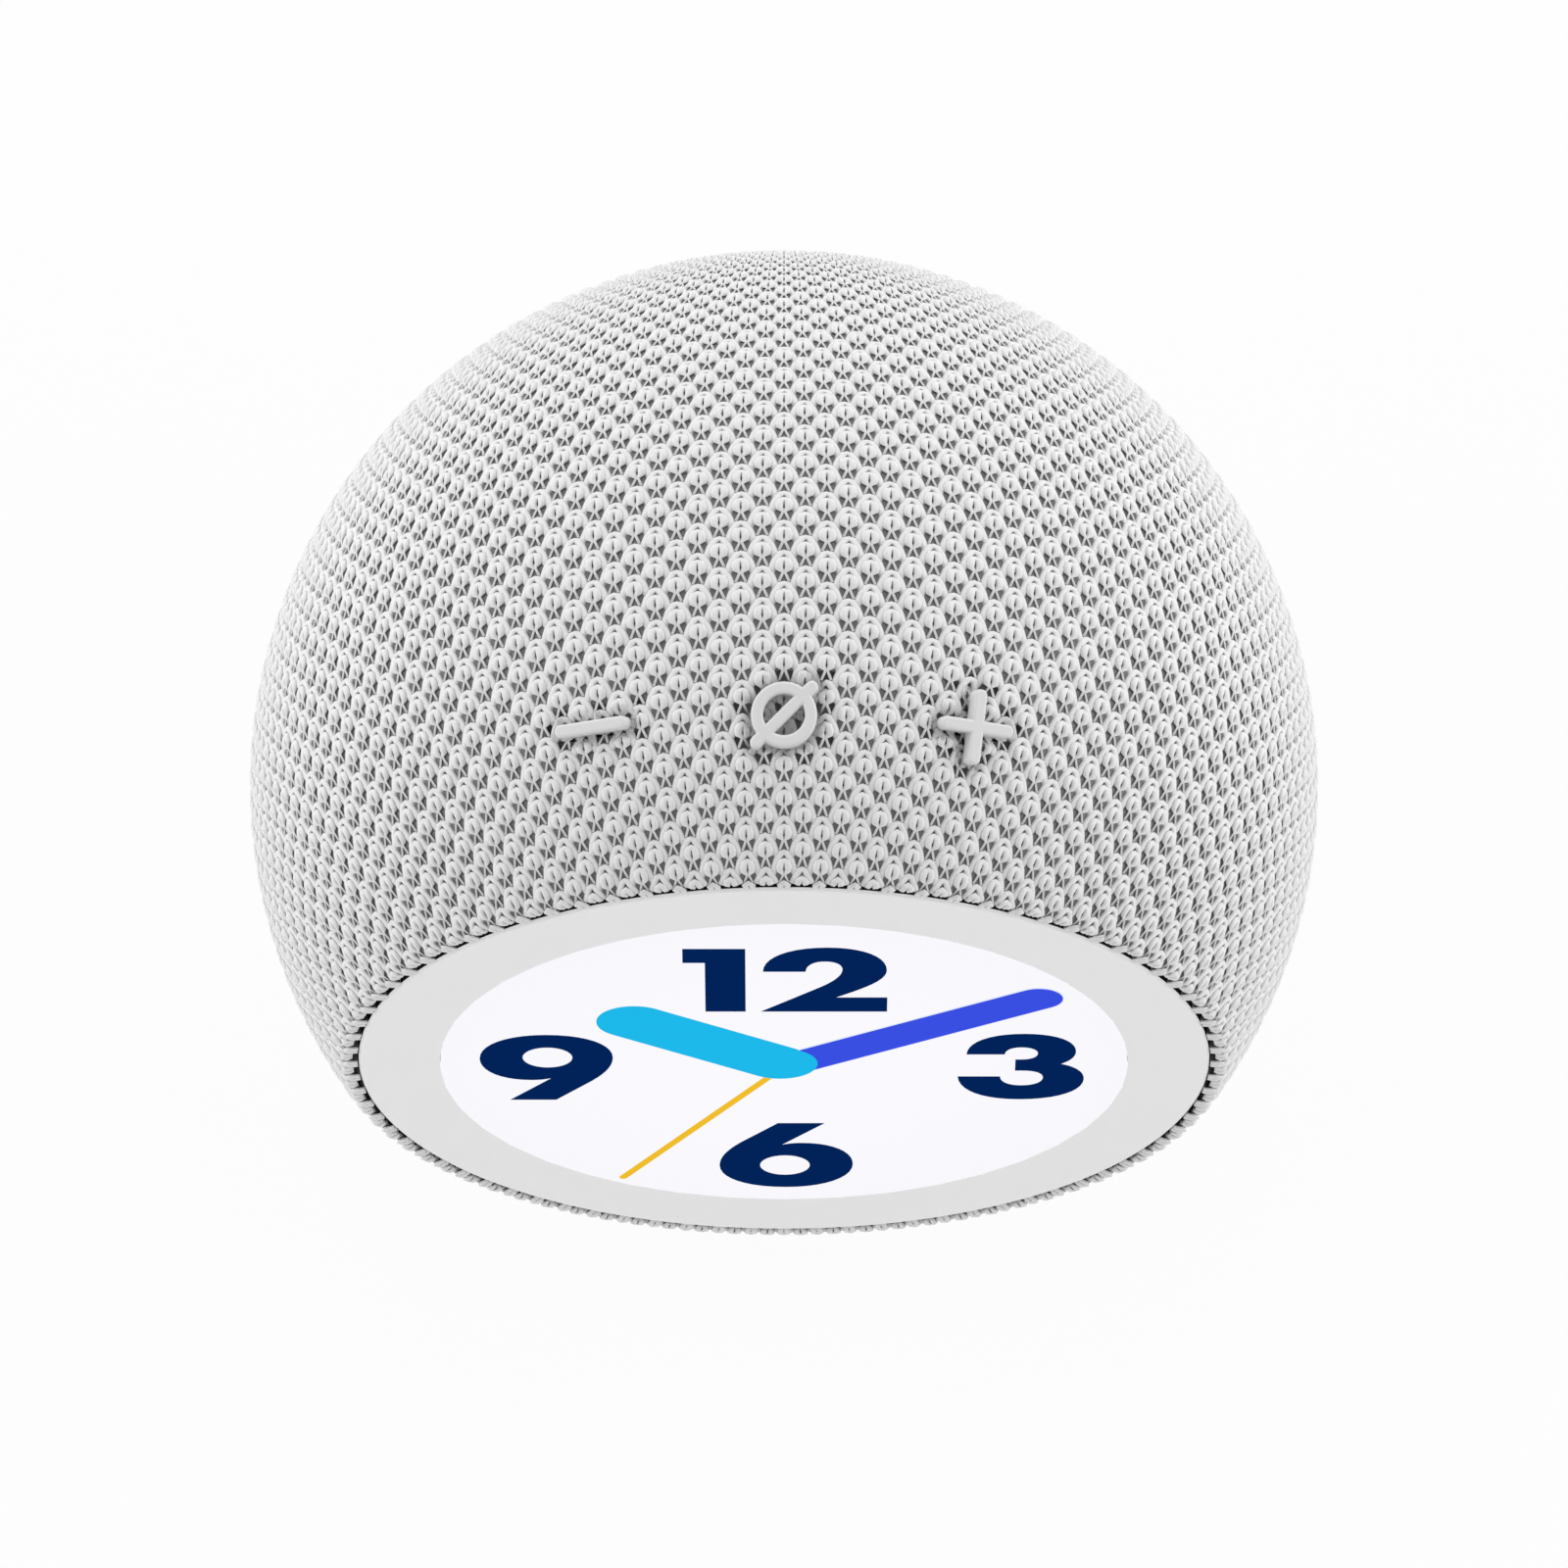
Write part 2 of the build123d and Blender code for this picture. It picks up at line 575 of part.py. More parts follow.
def sound_grille():
    """Slotted ring that lets the driver's sound out under the knit, with the base's bosses."""
    section = wall(SHELL_RADIUS, SHELL_INSIDE, -BASE_DROP, GRILLE_TOP)
    lip = sqrt(SHELL_INSIDE**2 - GRILLE_TOP**2) - GRILLE_CLEARANCE
    section += area(lip - GRILLE_LIP_WALL, lip, GRILLE_TOP - GRILLE_LIP, GRILLE_TOP + GRILLE_LIP)
    ring = turned(section)
    slot_height = GRILLE_HEIGHT - 2 * GRILLE_SLOT_MARGIN
    outline = Rot(0, 0, 90) * SlotOverall(slot_height, GRILLE_SLOT_WIDTH)
    slot = Pos(0, 0, GRILLE_TOP - GRILLE_HEIGHT / 2) * extrude(Plane.YZ * outline, amount=FAR)
    ring -= around(slot, BASE_RADIUS / 2, between_angles(GRILLE_SLOTS))
    boss = disc(BASE_BOSS_RADIUS, -BASE_DROP, BASE_BOSS_HEIGHT - BASE_DROP)
    inside = ball(SHELL_MIDDLE)
    ring += [piece & inside for piece in around(boss, BASE_SCREW_CIRCLE, CROSS_ANGLES)]
    pilot = disc(PILOT_RADIUS, -FAR, SCREW_LENGTH - BASE_DROP)
    return ring - around(pilot, BASE_SCREW_CIRCLE, CROSS_ANGLES)


# Face, drawn along its own axis

def front_frame():
    """Dark ring that clamps the knit's edge and carries the lens, the display and the bracket."""
    section = area(FRAME_BORE, FRAME_RADIUS, SHELL_RIM, FRAME_BED)
    section += area(FRAME_RADIUS - LIP_WALL, FRAME_RADIUS, SHELL_RIM, FACE_PLANE - LIP_DROP)
    section += area(FRAME_BORE, SKIRT_RADIUS, SHELL_RIM - FRAME_SKIRT_DEPTH, FRAME_BED)
    frame = turned(section)
    frame += around(disc(FACE_BOSS_RADIUS, BRACKET_FRONT, FRAME_BED), FACE_SCREW_CIRCLE, CROSS_ANGLES)
    frame -= around(disc(PILOT_RADIUS, 0, SHELL_RIM), FACE_SCREW_CIRCLE, CROSS_ANGLES)
    hole = disc(HOLE_RADIUS, 0, FAR) + disc(RECESS_RADIUS, FRAME_BED - SCREW_HEAD, FAR)
    return FACE * (frame - around(hole, FACE_SCREW_CIRCLE, FRAME_SCREW_ANGLES))


def frame_screws():
    piece = Pos(0, 0, FRAME_BED - SCREW_HEAD) * screw(SCREW_LENGTH)
    return FACE * group(around(piece, FACE_SCREW_CIRCLE, FRAME_SCREW_ANGLES))


def cover_lens():
    return FACE * disc(SCREEN_RADIUS - LENS_FIT, LENS_BACK, FACE_PLANE)


def lens_border():
    """Moulded bezel round the lens, level with it, its outer edge broken."""
    ring = tube(BEZEL_RADIUS, SCREEN_RADIUS, LENS_BACK, FACE_PLANE)
    front_edges = ring.edges().filter_by_position(Axis.Z, FACE_PLANE, FACE_PLANE)
    return FACE * chamfer(front_edges.sort_by(SortBy.RADIUS)[-1], BEZEL_CHAMFER)


def lens_adhesive():
    return FACE * tube(BEZEL_RADIUS - ADHESIVE_INSET, FRAME_BORE + ADHESIVE_INSET, FRAME_BED, LENS_BACK)


def display_cell():
    return FACE * disc(CELL_RADIUS, CELL_BACK, LENS_BACK)


def backlight():
    return FACE * disc(CELL_RADIUS, BACKLIGHT_BACK, CELL_BACK)


def display_foam():
    return FACE * tube(CELL_RADIUS, CELL_RADIUS - FOAM_WIDTH, BRACKET_FRONT, BACKLIGHT_BACK)


def display_bracket():
    """Metal plate behind the display, with four ears, a lightened middle and a window for the flex."""
    plate = disc(SKIRT_RADIUS, BRACKET_BACK, BRACKET_FRONT)
    ear = disc(FACE_BOSS_RADIUS, BRACKET_BACK, BRACKET_FRONT)
    arm = (FACE_SCREW_CIRCLE, 2 * FACE_BOSS_RADIUS, BRACKET_THICKNESS)
    ear += block(arm, (-FACE_SCREW_CIRCLE / 2, 0), BRACKET_BACK)
    plate += around(ear, FACE_SCREW_CIRCLE, CROSS_ANGLES)
    plate -= around(disc(HOLE_RADIUS, 0, FAR), FACE_SCREW_CIRCLE, CROSS_ANGLES)
    plate -= disc(BRACKET_WINDOW_RADIUS, 0, FAR)
    hole_circle = (BRACKET_WINDOW_RADIUS + BOARD_SCREW_CIRCLE) / 2
    plate -= around(disc(BRACKET_HOLE_RADIUS, 0, FAR), hole_circle, even_angles(BRACKET_HOLES))
    window = (DISPLAY_FLEX_WIDTH + CONNECTOR_DEPTH, CONNECTOR_DEPTH, FAR)
    return FACE * (plate - block(window, (0, -DISPLAY_CONNECTOR_DOWN), 0))


def bracket_screws():
    piece = Pos(0, 0, BRACKET_BACK) * Rot(180, 0, 0) * screw(SHELL_RIM - BRACKET_BACK - PILOT_CLEARANCE)
    return FACE * group(around(piece, FACE_SCREW_CIRCLE, CROSS_ANGLES))


def display_flex():
    """Flat cable from the backlight's back through the bracket's window to the main board."""
    level = BACKLIGHT_BACK - FLEX_THICKNESS / 2
    corner = (-DISPLAY_CONNECTOR_DOWN, level)
    end = (-DISPLAY_CONNECTOR_DOWN, BOARD_FRONT + CONNECTOR_HEIGHT)
    path = FilletPolyline((-DISPLAY_FLEX_START, level), corner, end, radius=FLEX_BEND)
    strip = Plane.YZ * trace(path, FLEX_THICKNESS)
    return FACE * extrude(strip, amount=DISPLAY_FLEX_WIDTH / 2, both=True)


# Main board

def board_standoffs():
    post = prism(RegularPolygon(STANDOFF_RADIUS, 6), BOARD_FRONT, BRACKET_BACK)
    post -= disc(PILOT_RADIUS, 0, BRACKET_BACK - BRACKET_THICKNESS / 2)
    return FACE * group(around(post, BOARD_SCREW_CIRCLE, FRAME_SCREW_ANGLES))


def main_board():
    board = disc(BOARD_RADIUS, BOARD_BACK, BOARD_FRONT)
    return FACE * (board - around(disc(HOLE_RADIUS, 0, FAR), BOARD_SCREW_CIRCLE, FRAME_SCREW_ANGLES))


def board_screws():
    length = BOARD_THICKNESS + STANDOFF_HEIGHT - BRACKET_THICKNESS
    piece = Pos(0, 0, BOARD_BACK) * Rot(180, 0, 0) * screw(length)
    return FACE * group(around(piece, BOARD_SCREW_CIRCLE, FRAME_SCREW_ANGLES))


def processor_shield():
    return FACE * block(SHIELD_SIZE, (0, SHIELD_UP), BOARD_BACK - SHIELD_SIZE[2])


def radio_shield():
    return FACE * block(RADIO_SIZE, RADIO_PLACE, BOARD_FRONT)


def board_connectors():
    """Flex connectors for the display and the keys, and sockets for the two leads."""
    display = (DISPLAY_FLEX_WIDTH + CONNECTOR_MARGIN, CONNECTOR_DEPTH, CONNECTOR_HEIGHT)
    keys = (KEY_FLEX_WIDTH + CONNECTOR_MARGIN, CONNECTOR_DEPTH, CONNECTOR_HEIGHT)
    socket_low = BOARD_BACK - LEAD_SOCKET_SIZE[2]
    return FACE * group(
        [
            block(display, (0, -DISPLAY_CONNECTOR_DOWN), BOARD_FRONT),
            block(keys, (0, KEY_CONNECTOR_UP), BOARD_BACK - CONNECTOR_HEIGHT),
            block(LEAD_SOCKET_SIZE, POWER_SOCKET_PLACE, socket_low),
            block(LEAD_SOCKET_SIZE, SPEAKER_SOCKET_PLACE, socket_low),
        ]
    )


def face_point(x, up, along):
    """Point of the face's frame, about the ball's centre."""
    return FACE.from_local_coords((x, up, along))


def key_connector():
    """Flex connector under the key board."""
    size = (KEY_FLEX_WIDTH + CONNECTOR_MARGIN, CONNECTOR_DEPTH, CONNECTOR_HEIGHT)
    return block(size, (0, CONNECTOR_DEPTH / 2), KEY_BOARD_BACK - CONNECTOR_HEIGHT)


def key_flex():
    """Flat cable from the key board's connector down to the back of the main board."""
    level = KEY_BOARD_BACK - CONNECTOR_HEIGHT / 2
    along = BOARD_BACK - CONNECTOR_HEIGHT / 2
    end = face_point(0, KEY_CONNECTOR_UP + CONNECTOR_DEPTH / 2, along)
    upward = FACE.y_dir
    corner = end + upward * ((level - end.Z) / upward.Z)
    path = FilletPolyline((0, level), (corner.Y, level), (end.Y, end.Z), radius=FLEX_BEND)
    strip = Plane.YZ * trace(path, FLEX_THICKNESS)
    return extrude(strip, amount=KEY_FLEX_WIDTH / 2, both=True)


def lead(points, radius):
    """Round lead along straight runs joined by arcs."""
    path = FilletPolyline(*points, radius=radius)
    return sweep(Plane(path @ 0, z_dir=path % 0) * Circle(LEAD_RADIUS), path)


# Speaker, about the vertical axis

def driver(piece):
    """Driver pieces are drawn from their flange's lower face upwards."""
    return Pos(0, 0, DRIVER_SEAT) * piece


def driver_basket():
    """Frame of the driver: flange, windowed cone, spider ledge, magnet plate and terminal."""
    section = area(FLANGE_BORE, DRIVER_RADIUS, 0, DRIVER_FLANGE)
    slope = Polyline(
        (FLANGE_BORE, DRIVER_FLANGE / 2),
        (FLANGE_BORE + BASKET_WALL, DRIVER_FLANGE / 2),
        (BASKET_NECK + BASKET_WALL, BASKET_HEIGHT + BASKET_PLATE),
        (BASKET_NECK, BASKET_HEIGHT + BASKET_PLATE),
        close=True,
    )
    section += make_face(slope)
    mouth = COIL_OUTSIDE + GAP_OUTSIDE
    section += area(mouth, BASKET_NECK + BASKET_WALL / 2, BASKET_HEIGHT, BASKET_HEIGHT + BASKET_PLATE)
    frame = turned(section)
    window_low = DRIVER_FLANGE + BASKET_WALL
    window_high = SPIDER_HEIGHT - BASKET_PLATE
    window = (DRIVER_RADIUS, BASKET_WINDOW_WIDTH, window_high - window_low)
    frame -= around(block(window, (DRIVER_RADIUS / 2, 0), window_low), 0, between_angles(BASKET_WINDOWS))
    ledge_inside = BASKET_NECK - SPIDER_LEDGE
    ledge_outside = BASKET_NECK + BASKET_WALL
    frame += tube(ledge_outside, ledge_inside, SPIDER_HEIGHT - BASKET_WALL / 2, SPIDER_HEIGHT)
    terminal = block(TERMINAL_SIZE, (-BASKET_NECK - TERMINAL_SIZE[0] / 2, 0), BASKET_HEIGHT - BASKET_PLATE)
    return driver(frame + terminal)


def driver_gasket():
    inner = FLANGE_BORE + SURROUND_LAND + GAP_OUTSIDE
    return driver(tube(DRIVER_RADIUS, inner, -GASKET_THICKNESS, 0))


def magnet_cup():
    mouth = COIL_OUTSIDE + GAP_OUTSIDE
    return driver(disc(CUP_RADIUS, CUP_MOUTH, CUP_MOUTH + CUP_HEIGHT) - disc(mouth, 0, MAGNET_TOP))


def pole_plate():
    low = CUP_MOUTH + POLE_RECESS
    return driver(disc(COIL_RADIUS - GAP_INSIDE, low, low + POLE_THICKNESS))


def magnet():
    low = CUP_MOUTH + POLE_RECESS + POLE_THICKNESS
    return driver(disc(COIL_RADIUS - GAP_INSIDE - MAGNET_INSET, low, MAGNET_TOP))


def voice_coil():
    coil = tube(COIL_RADIUS + FORMER_WALL, COIL_RADIUS, FORMER_LOW, FORMER_HIGH)
    return driver(coil + tube(COIL_OUTSIDE, COIL_RADIUS, FORMER_HIGH - WINDING_HEIGHT, FORMER_HIGH))


def driver_cone():
    """Paper cone with a flat rim, opening downwards."""
    neck = COIL_RADIUS + FORMER_WALL + GLUE
    rim = CONE_RADIUS - CONE_RIM_WIDTH
    section = area(rim, CONE_RADIUS, CONE_RIM_HEIGHT, CONE_RIM_HEIGHT + CONE_WALL)
    slope = Polyline(
        (rim, CONE_RIM_HEIGHT),
        (rim + CONE_WALL, CONE_RIM_HEIGHT + CONE_WALL),
        (neck + CONE_WALL, CONE_NECK_HEIGHT + CONE_WALL),
        (neck, CONE_NECK_HEIGHT + CONE_WALL),
        (neck, CONE_NECK_HEIGHT),
        close=True,
    )
    return driver(turned(section + make_face(slope)))


def dust_cap():
    """Shallow dome over the coil, seated just under the cone's neck."""
    half = COIL_RADIUS
    radius = (half**2 + DUST_CAP_RISE**2) / (2 * DUST_CAP_RISE)
    rim_height = FORMER_LOW - GLUE
    centre = rim_height - DUST_CAP_RISE + radius
    section = Circle(radius) - Circle(radius - CONE_WALL / 2)
    section = Pos(0, centre) * section & area(0, half, 0, rim_height)
    return driver(turned(section))


def surround():
    """Half roll between the cone's rim and the flange."""
    inner = CONE_RADIUS - CONE_RIM_WIDTH
    roll_inside = CONE_RADIUS - SURROUND_THICKNESS
    roll_outside = FLANGE_BORE + SURROUND_THICKNESS
    middle = (roll_inside + roll_outside) / 2
    radius = (roll_outside - roll_inside) / 2
    roll = Circle(radius) - Circle(radius - SURROUND_THICKNESS)
    section = Pos(middle, 0) * roll & area(0, FAR, -FAR, 0)
    section += area(roll_inside, CONE_RADIUS, 0, CONE_RIM_HEIGHT)
    section += area(inner, CONE_RADIUS, CONE_RIM_HEIGHT - SURROUND_THICKNESS, CONE_RIM_HEIGHT)
    section += area(FLANGE_BORE, FLANGE_BORE + SURROUND_LAND, -SURROUND_THICKNESS, 0)
    return driver(turned(section))


def spider():
    """Corrugated disc that centres the coil, on the basket's ledge."""
    start = COIL_RADIUS + FORMER_WALL + GLUE
    ledge = BASKET_NECK - SPIDER_LEDGE
    step = (ledge - start) / (2 * SPIDER_WAVES + 1)
    under = [(start + step * i, SPIDER_HEIGHT + SPIDER_WAVE * (i % 2)) for i in range(2 * SPIDER_WAVES + 1)]
    under += [(ledge, SPIDER_HEIGHT), (BASKET_NECK - GLUE, SPIDER_HEIGHT)]
    over = [(radius, height + SPIDER_THICKNESS) for radius, height in reversed(under)]
    return driver(turned(make_face(Polyline(*under, *over, close=True))))


def box_lug():
    return disc(LUG_RADIUS, BOX_FLOOR, BOX_FLOOR + LUG_THICKNESS)


def speaker_box():
    """Sealed chamber over the driver, with a slanting front that clears the main board."""
    top = BOX_FLOOR + BOX_HEIGHT
    box = disc(BOX_RADIUS, BOX_FLOOR, top) - FACE * block((FAR, FAR, FAR), (0, 0), BOX_FRONT)
    box = fillet(box.faces().sort_by(Axis.Z)[-1].edges(), BOX_ROUND)
    hollow = disc(BOX_RADIUS - BOX_WALL, BOX_FLOOR + BOX_WALL, top - BOX_WALL)
    hollow -= FACE * block((FAR, FAR, FAR), (0, 0), BOX_FRONT - BOX_WALL)
    box += around(box_lug(), LUG_CIRCLE, FRAME_SCREW_ANGLES)
    box -= hollow
    box -= disc(BOX_BORE, -FAR, BOX_FLOOR + BOX_WALL)
    box -= around(disc(HOLE_RADIUS, -FAR, FAR), LUG_CIRCLE, FRAME_SCREW_ANGLES)
    lead_hole = Cylinder(LEAD_RADIUS + LEAD_HOLE_CLEARANCE, BOX_RADIUS, rotation=(0, 90, 0))
    return box - Pos(-BOX_RADIUS, 0, DRIVER_SEAT + LEAD_UP) * lead_hole


def box_screws():
    piece = Pos(0, 0, BOX_FLOOR + LUG_THICKNESS) * screw(LUG_THICKNESS + SCREW_LENGTH)
    return group(around(piece, LUG_CIRCLE, FRAME_SCREW_ANGLES))


def speaker_lead():
    """Lead from the driver's terminal up the box, out through its wall and to the main board."""
    x = LEAD_TERMINAL_INSET - BASKET_NECK - TERMINAL_SIZE[0]
    start = DRIVER_SEAT + BASKET_HEIGHT - BASKET_PLATE + TERMINAL_SIZE[2]
    level = DRIVER_SEAT + LEAD_UP
    socket = BOARD_BACK - LEAD_SOCKET_SIZE[2]
    end = face_point(*SPEAKER_SOCKET_PLACE, socket)
    before = face_point(*SPEAKER_SOCKET_PLACE, socket - LEAD_RUN)
    side = -BOX_RADIUS - LEAD_RUN
    points = [(x, 0, start), (x, 0, level), (side, 0, level), before, end]
    return lead(points, LEAD_BEND)


# Base

def deflector():
    """Curved cone that turns the driver's sound outwards."""
    flank = ThreePointArc(
        (DEFLECTOR_RADIUS, -BASE_DROP),
        (DEFLECTOR_RADIUS / 3, DEFLECTOR_HEIGHT / 3 - BASE_DROP),
        (DEFLECTOR_TIP, DEFLECTOR_HEIGHT - BASE_DROP),
    )
    close = Polyline(flank @ 1, (0, DEFLECTOR_HEIGHT - BASE_DROP), (0, -BASE_DROP), flank @ 0)
    return turned(make_face(Curve() + [flank, close]))


def base_plate():
    """Base with the foot's recess, the deflector, and the windowed cage that carries the speaker."""
    low = -BASE_DROP - BASE_THICKNESS
    radius = BASE_RADIUS + BASE_RIM
    plate = disc(radius, low, -BASE_DROP) - disc(radius - FOOT_INSET, low, low + FOOT_RECESS)
    spigot = sqrt(SHELL_INSIDE**2 - BASE_DROP**2) - GRILLE_CLEARANCE
    plate += tube(spigot, spigot - BASE_SPIGOT_WALL, -BASE_DROP, BASE_SPIGOT_HEIGHT - BASE_DROP)
    cage = tube(CAGE_RADIUS, CAGE_RADIUS - CAGE_WALL, -BASE_DROP, CAGE_TOP)
    gap = 2 * (CAGE_RADIUS - CAGE_WALL) * sin(radians(180 / CAGE_WINDOWS)) - CAGE_RIB
    window = (CAGE_RADIUS, gap, CAGE_HEIGHT - CAGE_RING - CAGE_FLOOR)
    opening = block(window, (CAGE_RADIUS, 0), CAGE_FLOOR - BASE_DROP)
    cage -= around(opening, 0, between_angles(CAGE_WINDOWS))
    boss = disc(LUG_BOSS_RADIUS, BOX_FLOOR - LUG_BOSS_LENGTH, BOX_FLOOR)
    reach = LUG_CIRCLE - CAGE_RADIUS + CAGE_WALL / 2
    web_height = CAGE_TOP - BOX_FLOOR + LUG_BOSS_LENGTH
    boss += block((reach, CAGE_RIB, web_height), (-reach / 2, 0), BOX_FLOOR - LUG_BOSS_LENGTH)
    plate += cage
    plate += around(boss, LUG_CIRCLE, FRAME_SCREW_ANGLES)
    plate += deflector()
    plate -= around(disc(PILOT_RADIUS, BOX_FLOOR - LUG_BOSS_LENGTH, FAR), LUG_CIRCLE, FRAME_SCREW_ANGLES)
    hole = disc(HOLE_RADIUS, -FAR, -BASE_DROP) + disc(RECESS_RADIUS, -FAR, low + FOOT_RECESS + SCREW_HEAD)
    return plate - around(hole, BASE_SCREW_CIRCLE, CROSS_ANGLES)


def base_screws():
    seat = FOOT_RECESS + SCREW_HEAD - BASE_DROP - BASE_THICKNESS
    piece = Pos(0, 0, seat) * Rot(180, 0, 0) * screw(SCREW_LENGTH - BASE_DROP - seat - PILOT_CLEARANCE)
    return group(around(piece, BASE_SCREW_CIRCLE, CROSS_ANGLES))


def foot_pad():
    top = FOOT_RECESS - BASE_DROP - BASE_THICKNESS
    radius = BASE_RADIUS + BASE_RIM - FOOT_INSET - FOOT_CLEARANCE
    pad = disc(radius, -CENTRE_HEIGHT, top)
    return chamfer(pad.edges().sort_by(Axis.Z)[0], FOOT_CHAMFER)


# Rear cap and inlet, on the back of the face's axis

def inlet_outline(grow):
    width, height = INLET_SIZE
    return RectangleRounded(width + 2 * grow, height + 2 * grow, INLET_CORNER + grow)


def rear_cap():
    """Cap at the back pole, with snap fingers, the inlet's opening and rails for its board."""
    section = wall(REAR_OUTSIDE, REAR_UNDERSIDE, -REAR_OUTSIDE, 0) & area(0, REAR_RADIUS, -FAR, 0)
    skirt = REAR_BORE - REAR_CLEARANCE
    seat = -sqrt(SHELL_INSIDE**2 - (skirt + REAR_BEAD) ** 2) + REAR_BEAD_GAP
    skirt_end = seat + REAR_SKIRT_DEPTH
    skirt_area = area(skirt - REAR_SKIRT_WALL, skirt, -REAR_OUTSIDE, skirt_end)
    section += skirt_area & Circle(REAR_UNDERSIDE + KNIT_FILM)
    section += area(skirt - REAR_SKIRT_WALL, skirt + REAR_BEAD, seat, seat + REAR_BEAD_HEIGHT)
    cap = turned(section)
    slit = block((2 * skirt, REAR_SLIT_WIDTH, FAR), (skirt + REAR_SKIRT_WALL, 0), seat - REAR_BEAD_HEIGHT)
    cap -= around(slit, 0, between_angles(REAR_SLITS))
    width, length = INLET_BOARD_SIZE
    board_low = INLET_BOARD_TOP - BOARD_THICKNESS
    rail_height = BOARD_THICKNESS + 2 * INLET_RAIL_LIP
    rail_middle = (INLET_BOARD_TOP + board_low) / 2
    rail = (INLET_RAIL + INLET_RAIL_LIP, rail_height, REAR_UNDERSIDE + INLET_MOUTH + INLET_BOARD_SET + length)
    rail_x = width / 2 + INLET_RAIL / 2 - INLET_RAIL_LIP / 2
    rails = [block(rail, (side * rail_x, rail_middle), -REAR_UNDERSIDE) for side in (-1, 1)]
    groove = (width + 2 * INLET_RAIL_CLEARANCE, BOARD_THICKNESS + 2 * INLET_RAIL_CLEARANCE, FAR)
    board_end = INLET_MOUTH + INLET_BOARD_SET - INLET_RAIL_CLEARANCE
    cap += [piece & ball(REAR_UNDERSIDE + KNIT_FILM) for piece in rails]
    cap -= block(groove, (0, rail_middle), board_end)
    return FACE * (cap - prism(inlet_outline(INLET_CLEARANCE), -FAR, board_end))


def usb_c_socket():
    """Receptacle shell with a closed back and its tongue."""
    shell = prism(inlet_outline(0), INLET_MOUTH, INLET_MOUTH + INLET_DEPTH)
    shell -= prism(inlet_outline(-INLET_WALL), INLET_MOUTH, INLET_MOUTH + INLET_DEPTH - INLET_WALL)
    shell += block(INLET_TONGUE, (0, 0), INLET_MOUTH + INLET_DEPTH - INLET_WALL - INLET_TONGUE[2])
    return FACE * shell


def inlet_board():
    width, length = INLET_BOARD_SIZE
    size = (width, BOARD_THICKNESS, length)
    return FACE * block(size, (0, INLET_BOARD_TOP - BOARD_THICKNESS / 2), INLET_MOUTH + INLET_BOARD_SET)


def inlet_connector():
    place = (0, INLET_BOARD_TOP + INLET_CONNECTOR_SIZE[1] / 2)
    end = INLET_MOUTH + INLET_BOARD_SET + INLET_BOARD_SIZE[1]
    return FACE * block(INLET_CONNECTOR_SIZE, place, end - INLET_CONNECTOR_SIZE[2])


def power_lead():
    """Lead from the inlet's connector round the speaker box to the main board."""
    start = INLET_MOUTH + INLET_BOARD_SET + INLET_BOARD_SIZE[1]
    up = INLET_BOARD_TOP + INLET_CONNECTOR_SIZE[1] / 2
    socket = BOARD_BACK - LEAD_SOCKET_SIZE[2]
    points = [face_point(0, up, start)]
    points += [face_point(x, up + rise, start + along) for x, rise, along in POWER_LEAD_ROUTE]
    points += [face_point(*POWER_SOCKET_PLACE, socket - LEAD_RUN), face_point(*POWER_SOCKET_PLACE, socket)]
    return lead(points, 2 * LEAD_BEND)


# Every piece by its node's name

def pieces():
    """Each node's name with its solid about the ball's centre."""
    found = {
        "knit_cover": knit_cover(),
        "front_shell": front_shell(),
        "rear_shell": rear_shell(),
        "sound_grille": sound_grille(),
        "front_frame": front_frame(),
        "frame_screws": frame_screws(),
        "cover_lens": cover_lens(),
        "lens_border": lens_border(),
        "lens_adhesive": lens_adhesive(),
        "display_cell": display_cell(),
        "backlight": backlight(),
        "display_foam": display_foam(),
        "display_bracket": display_bracket(),
        "bracket_screws": bracket_screws(),
        "display_flex": display_flex(),
        "board_standoffs": board_standoffs(),
        "main_board": main_board(),
        "board_screws": board_screws(),
        "processor_shield": processor_shield(),
        "radio_shield": radio_shield(),
        "board_connectors": board_connectors(),
        "key_board": key_board(),
        "key_board_screws": key_board_screws(),
        "key_connector": key_connector(),
        "key_flex": key_flex(),
        "switch_bodies": switch_bodies(),
        "microphones": microphones(),
        "mic_boots": mic_boots(),
        "speaker_box": speaker_box(),
        "box_screws": box_screws(),
        "speaker_lead": speaker_lead(),
        "driver_basket": driver_basket(),
        "driver_gasket": driver_gasket(),
        "magnet_cup": magnet_cup(),
        "magnet": magnet(),
        "pole_plate": pole_plate(),
        "voice_coil": voice_coil(),
        "driver_cone": driver_cone(),
        "dust_cap": dust_cap(),
        "surround": surround(),
        "spider": spider(),
        "base_plate": base_plate(),
        "base_screws": base_screws(),
        "foot_pad": foot_pad(),
        "rear_cap": rear_cap(),
        "usb_c_socket": usb_c_socket(),
        "inlet_board": inlet_board(),
        "inlet_connector": inlet_connector(),
        "power_lead": power_lead(),
    }
    for name, (side, symbol, blade, top) in KEYS.items():
        found[f"{name}_key"] = key(side, symbol, blade, top)
        found[f"{name}_plunger"] = plunger(side, blade, top)
        found[f"{name}_actuator"] = actuator(side)
    return found


def main():
    os.makedirs("parts", exist_ok=True)
    for name, piece in pieces().items():
        export_step(Pos(0, 0, CENTRE_HEIGHT) * piece, f"parts/{name}.step")


main()
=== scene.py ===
"""Looks of the knit-covered ball clock: knit by the stitch, lit dial, finishes, studio and camera."""

import json
import logging
import math
from dataclasses import dataclass
from enum import Enum
from typing import Iterable

import bpy
import numpy as np
from mathutils import Matrix, Vector


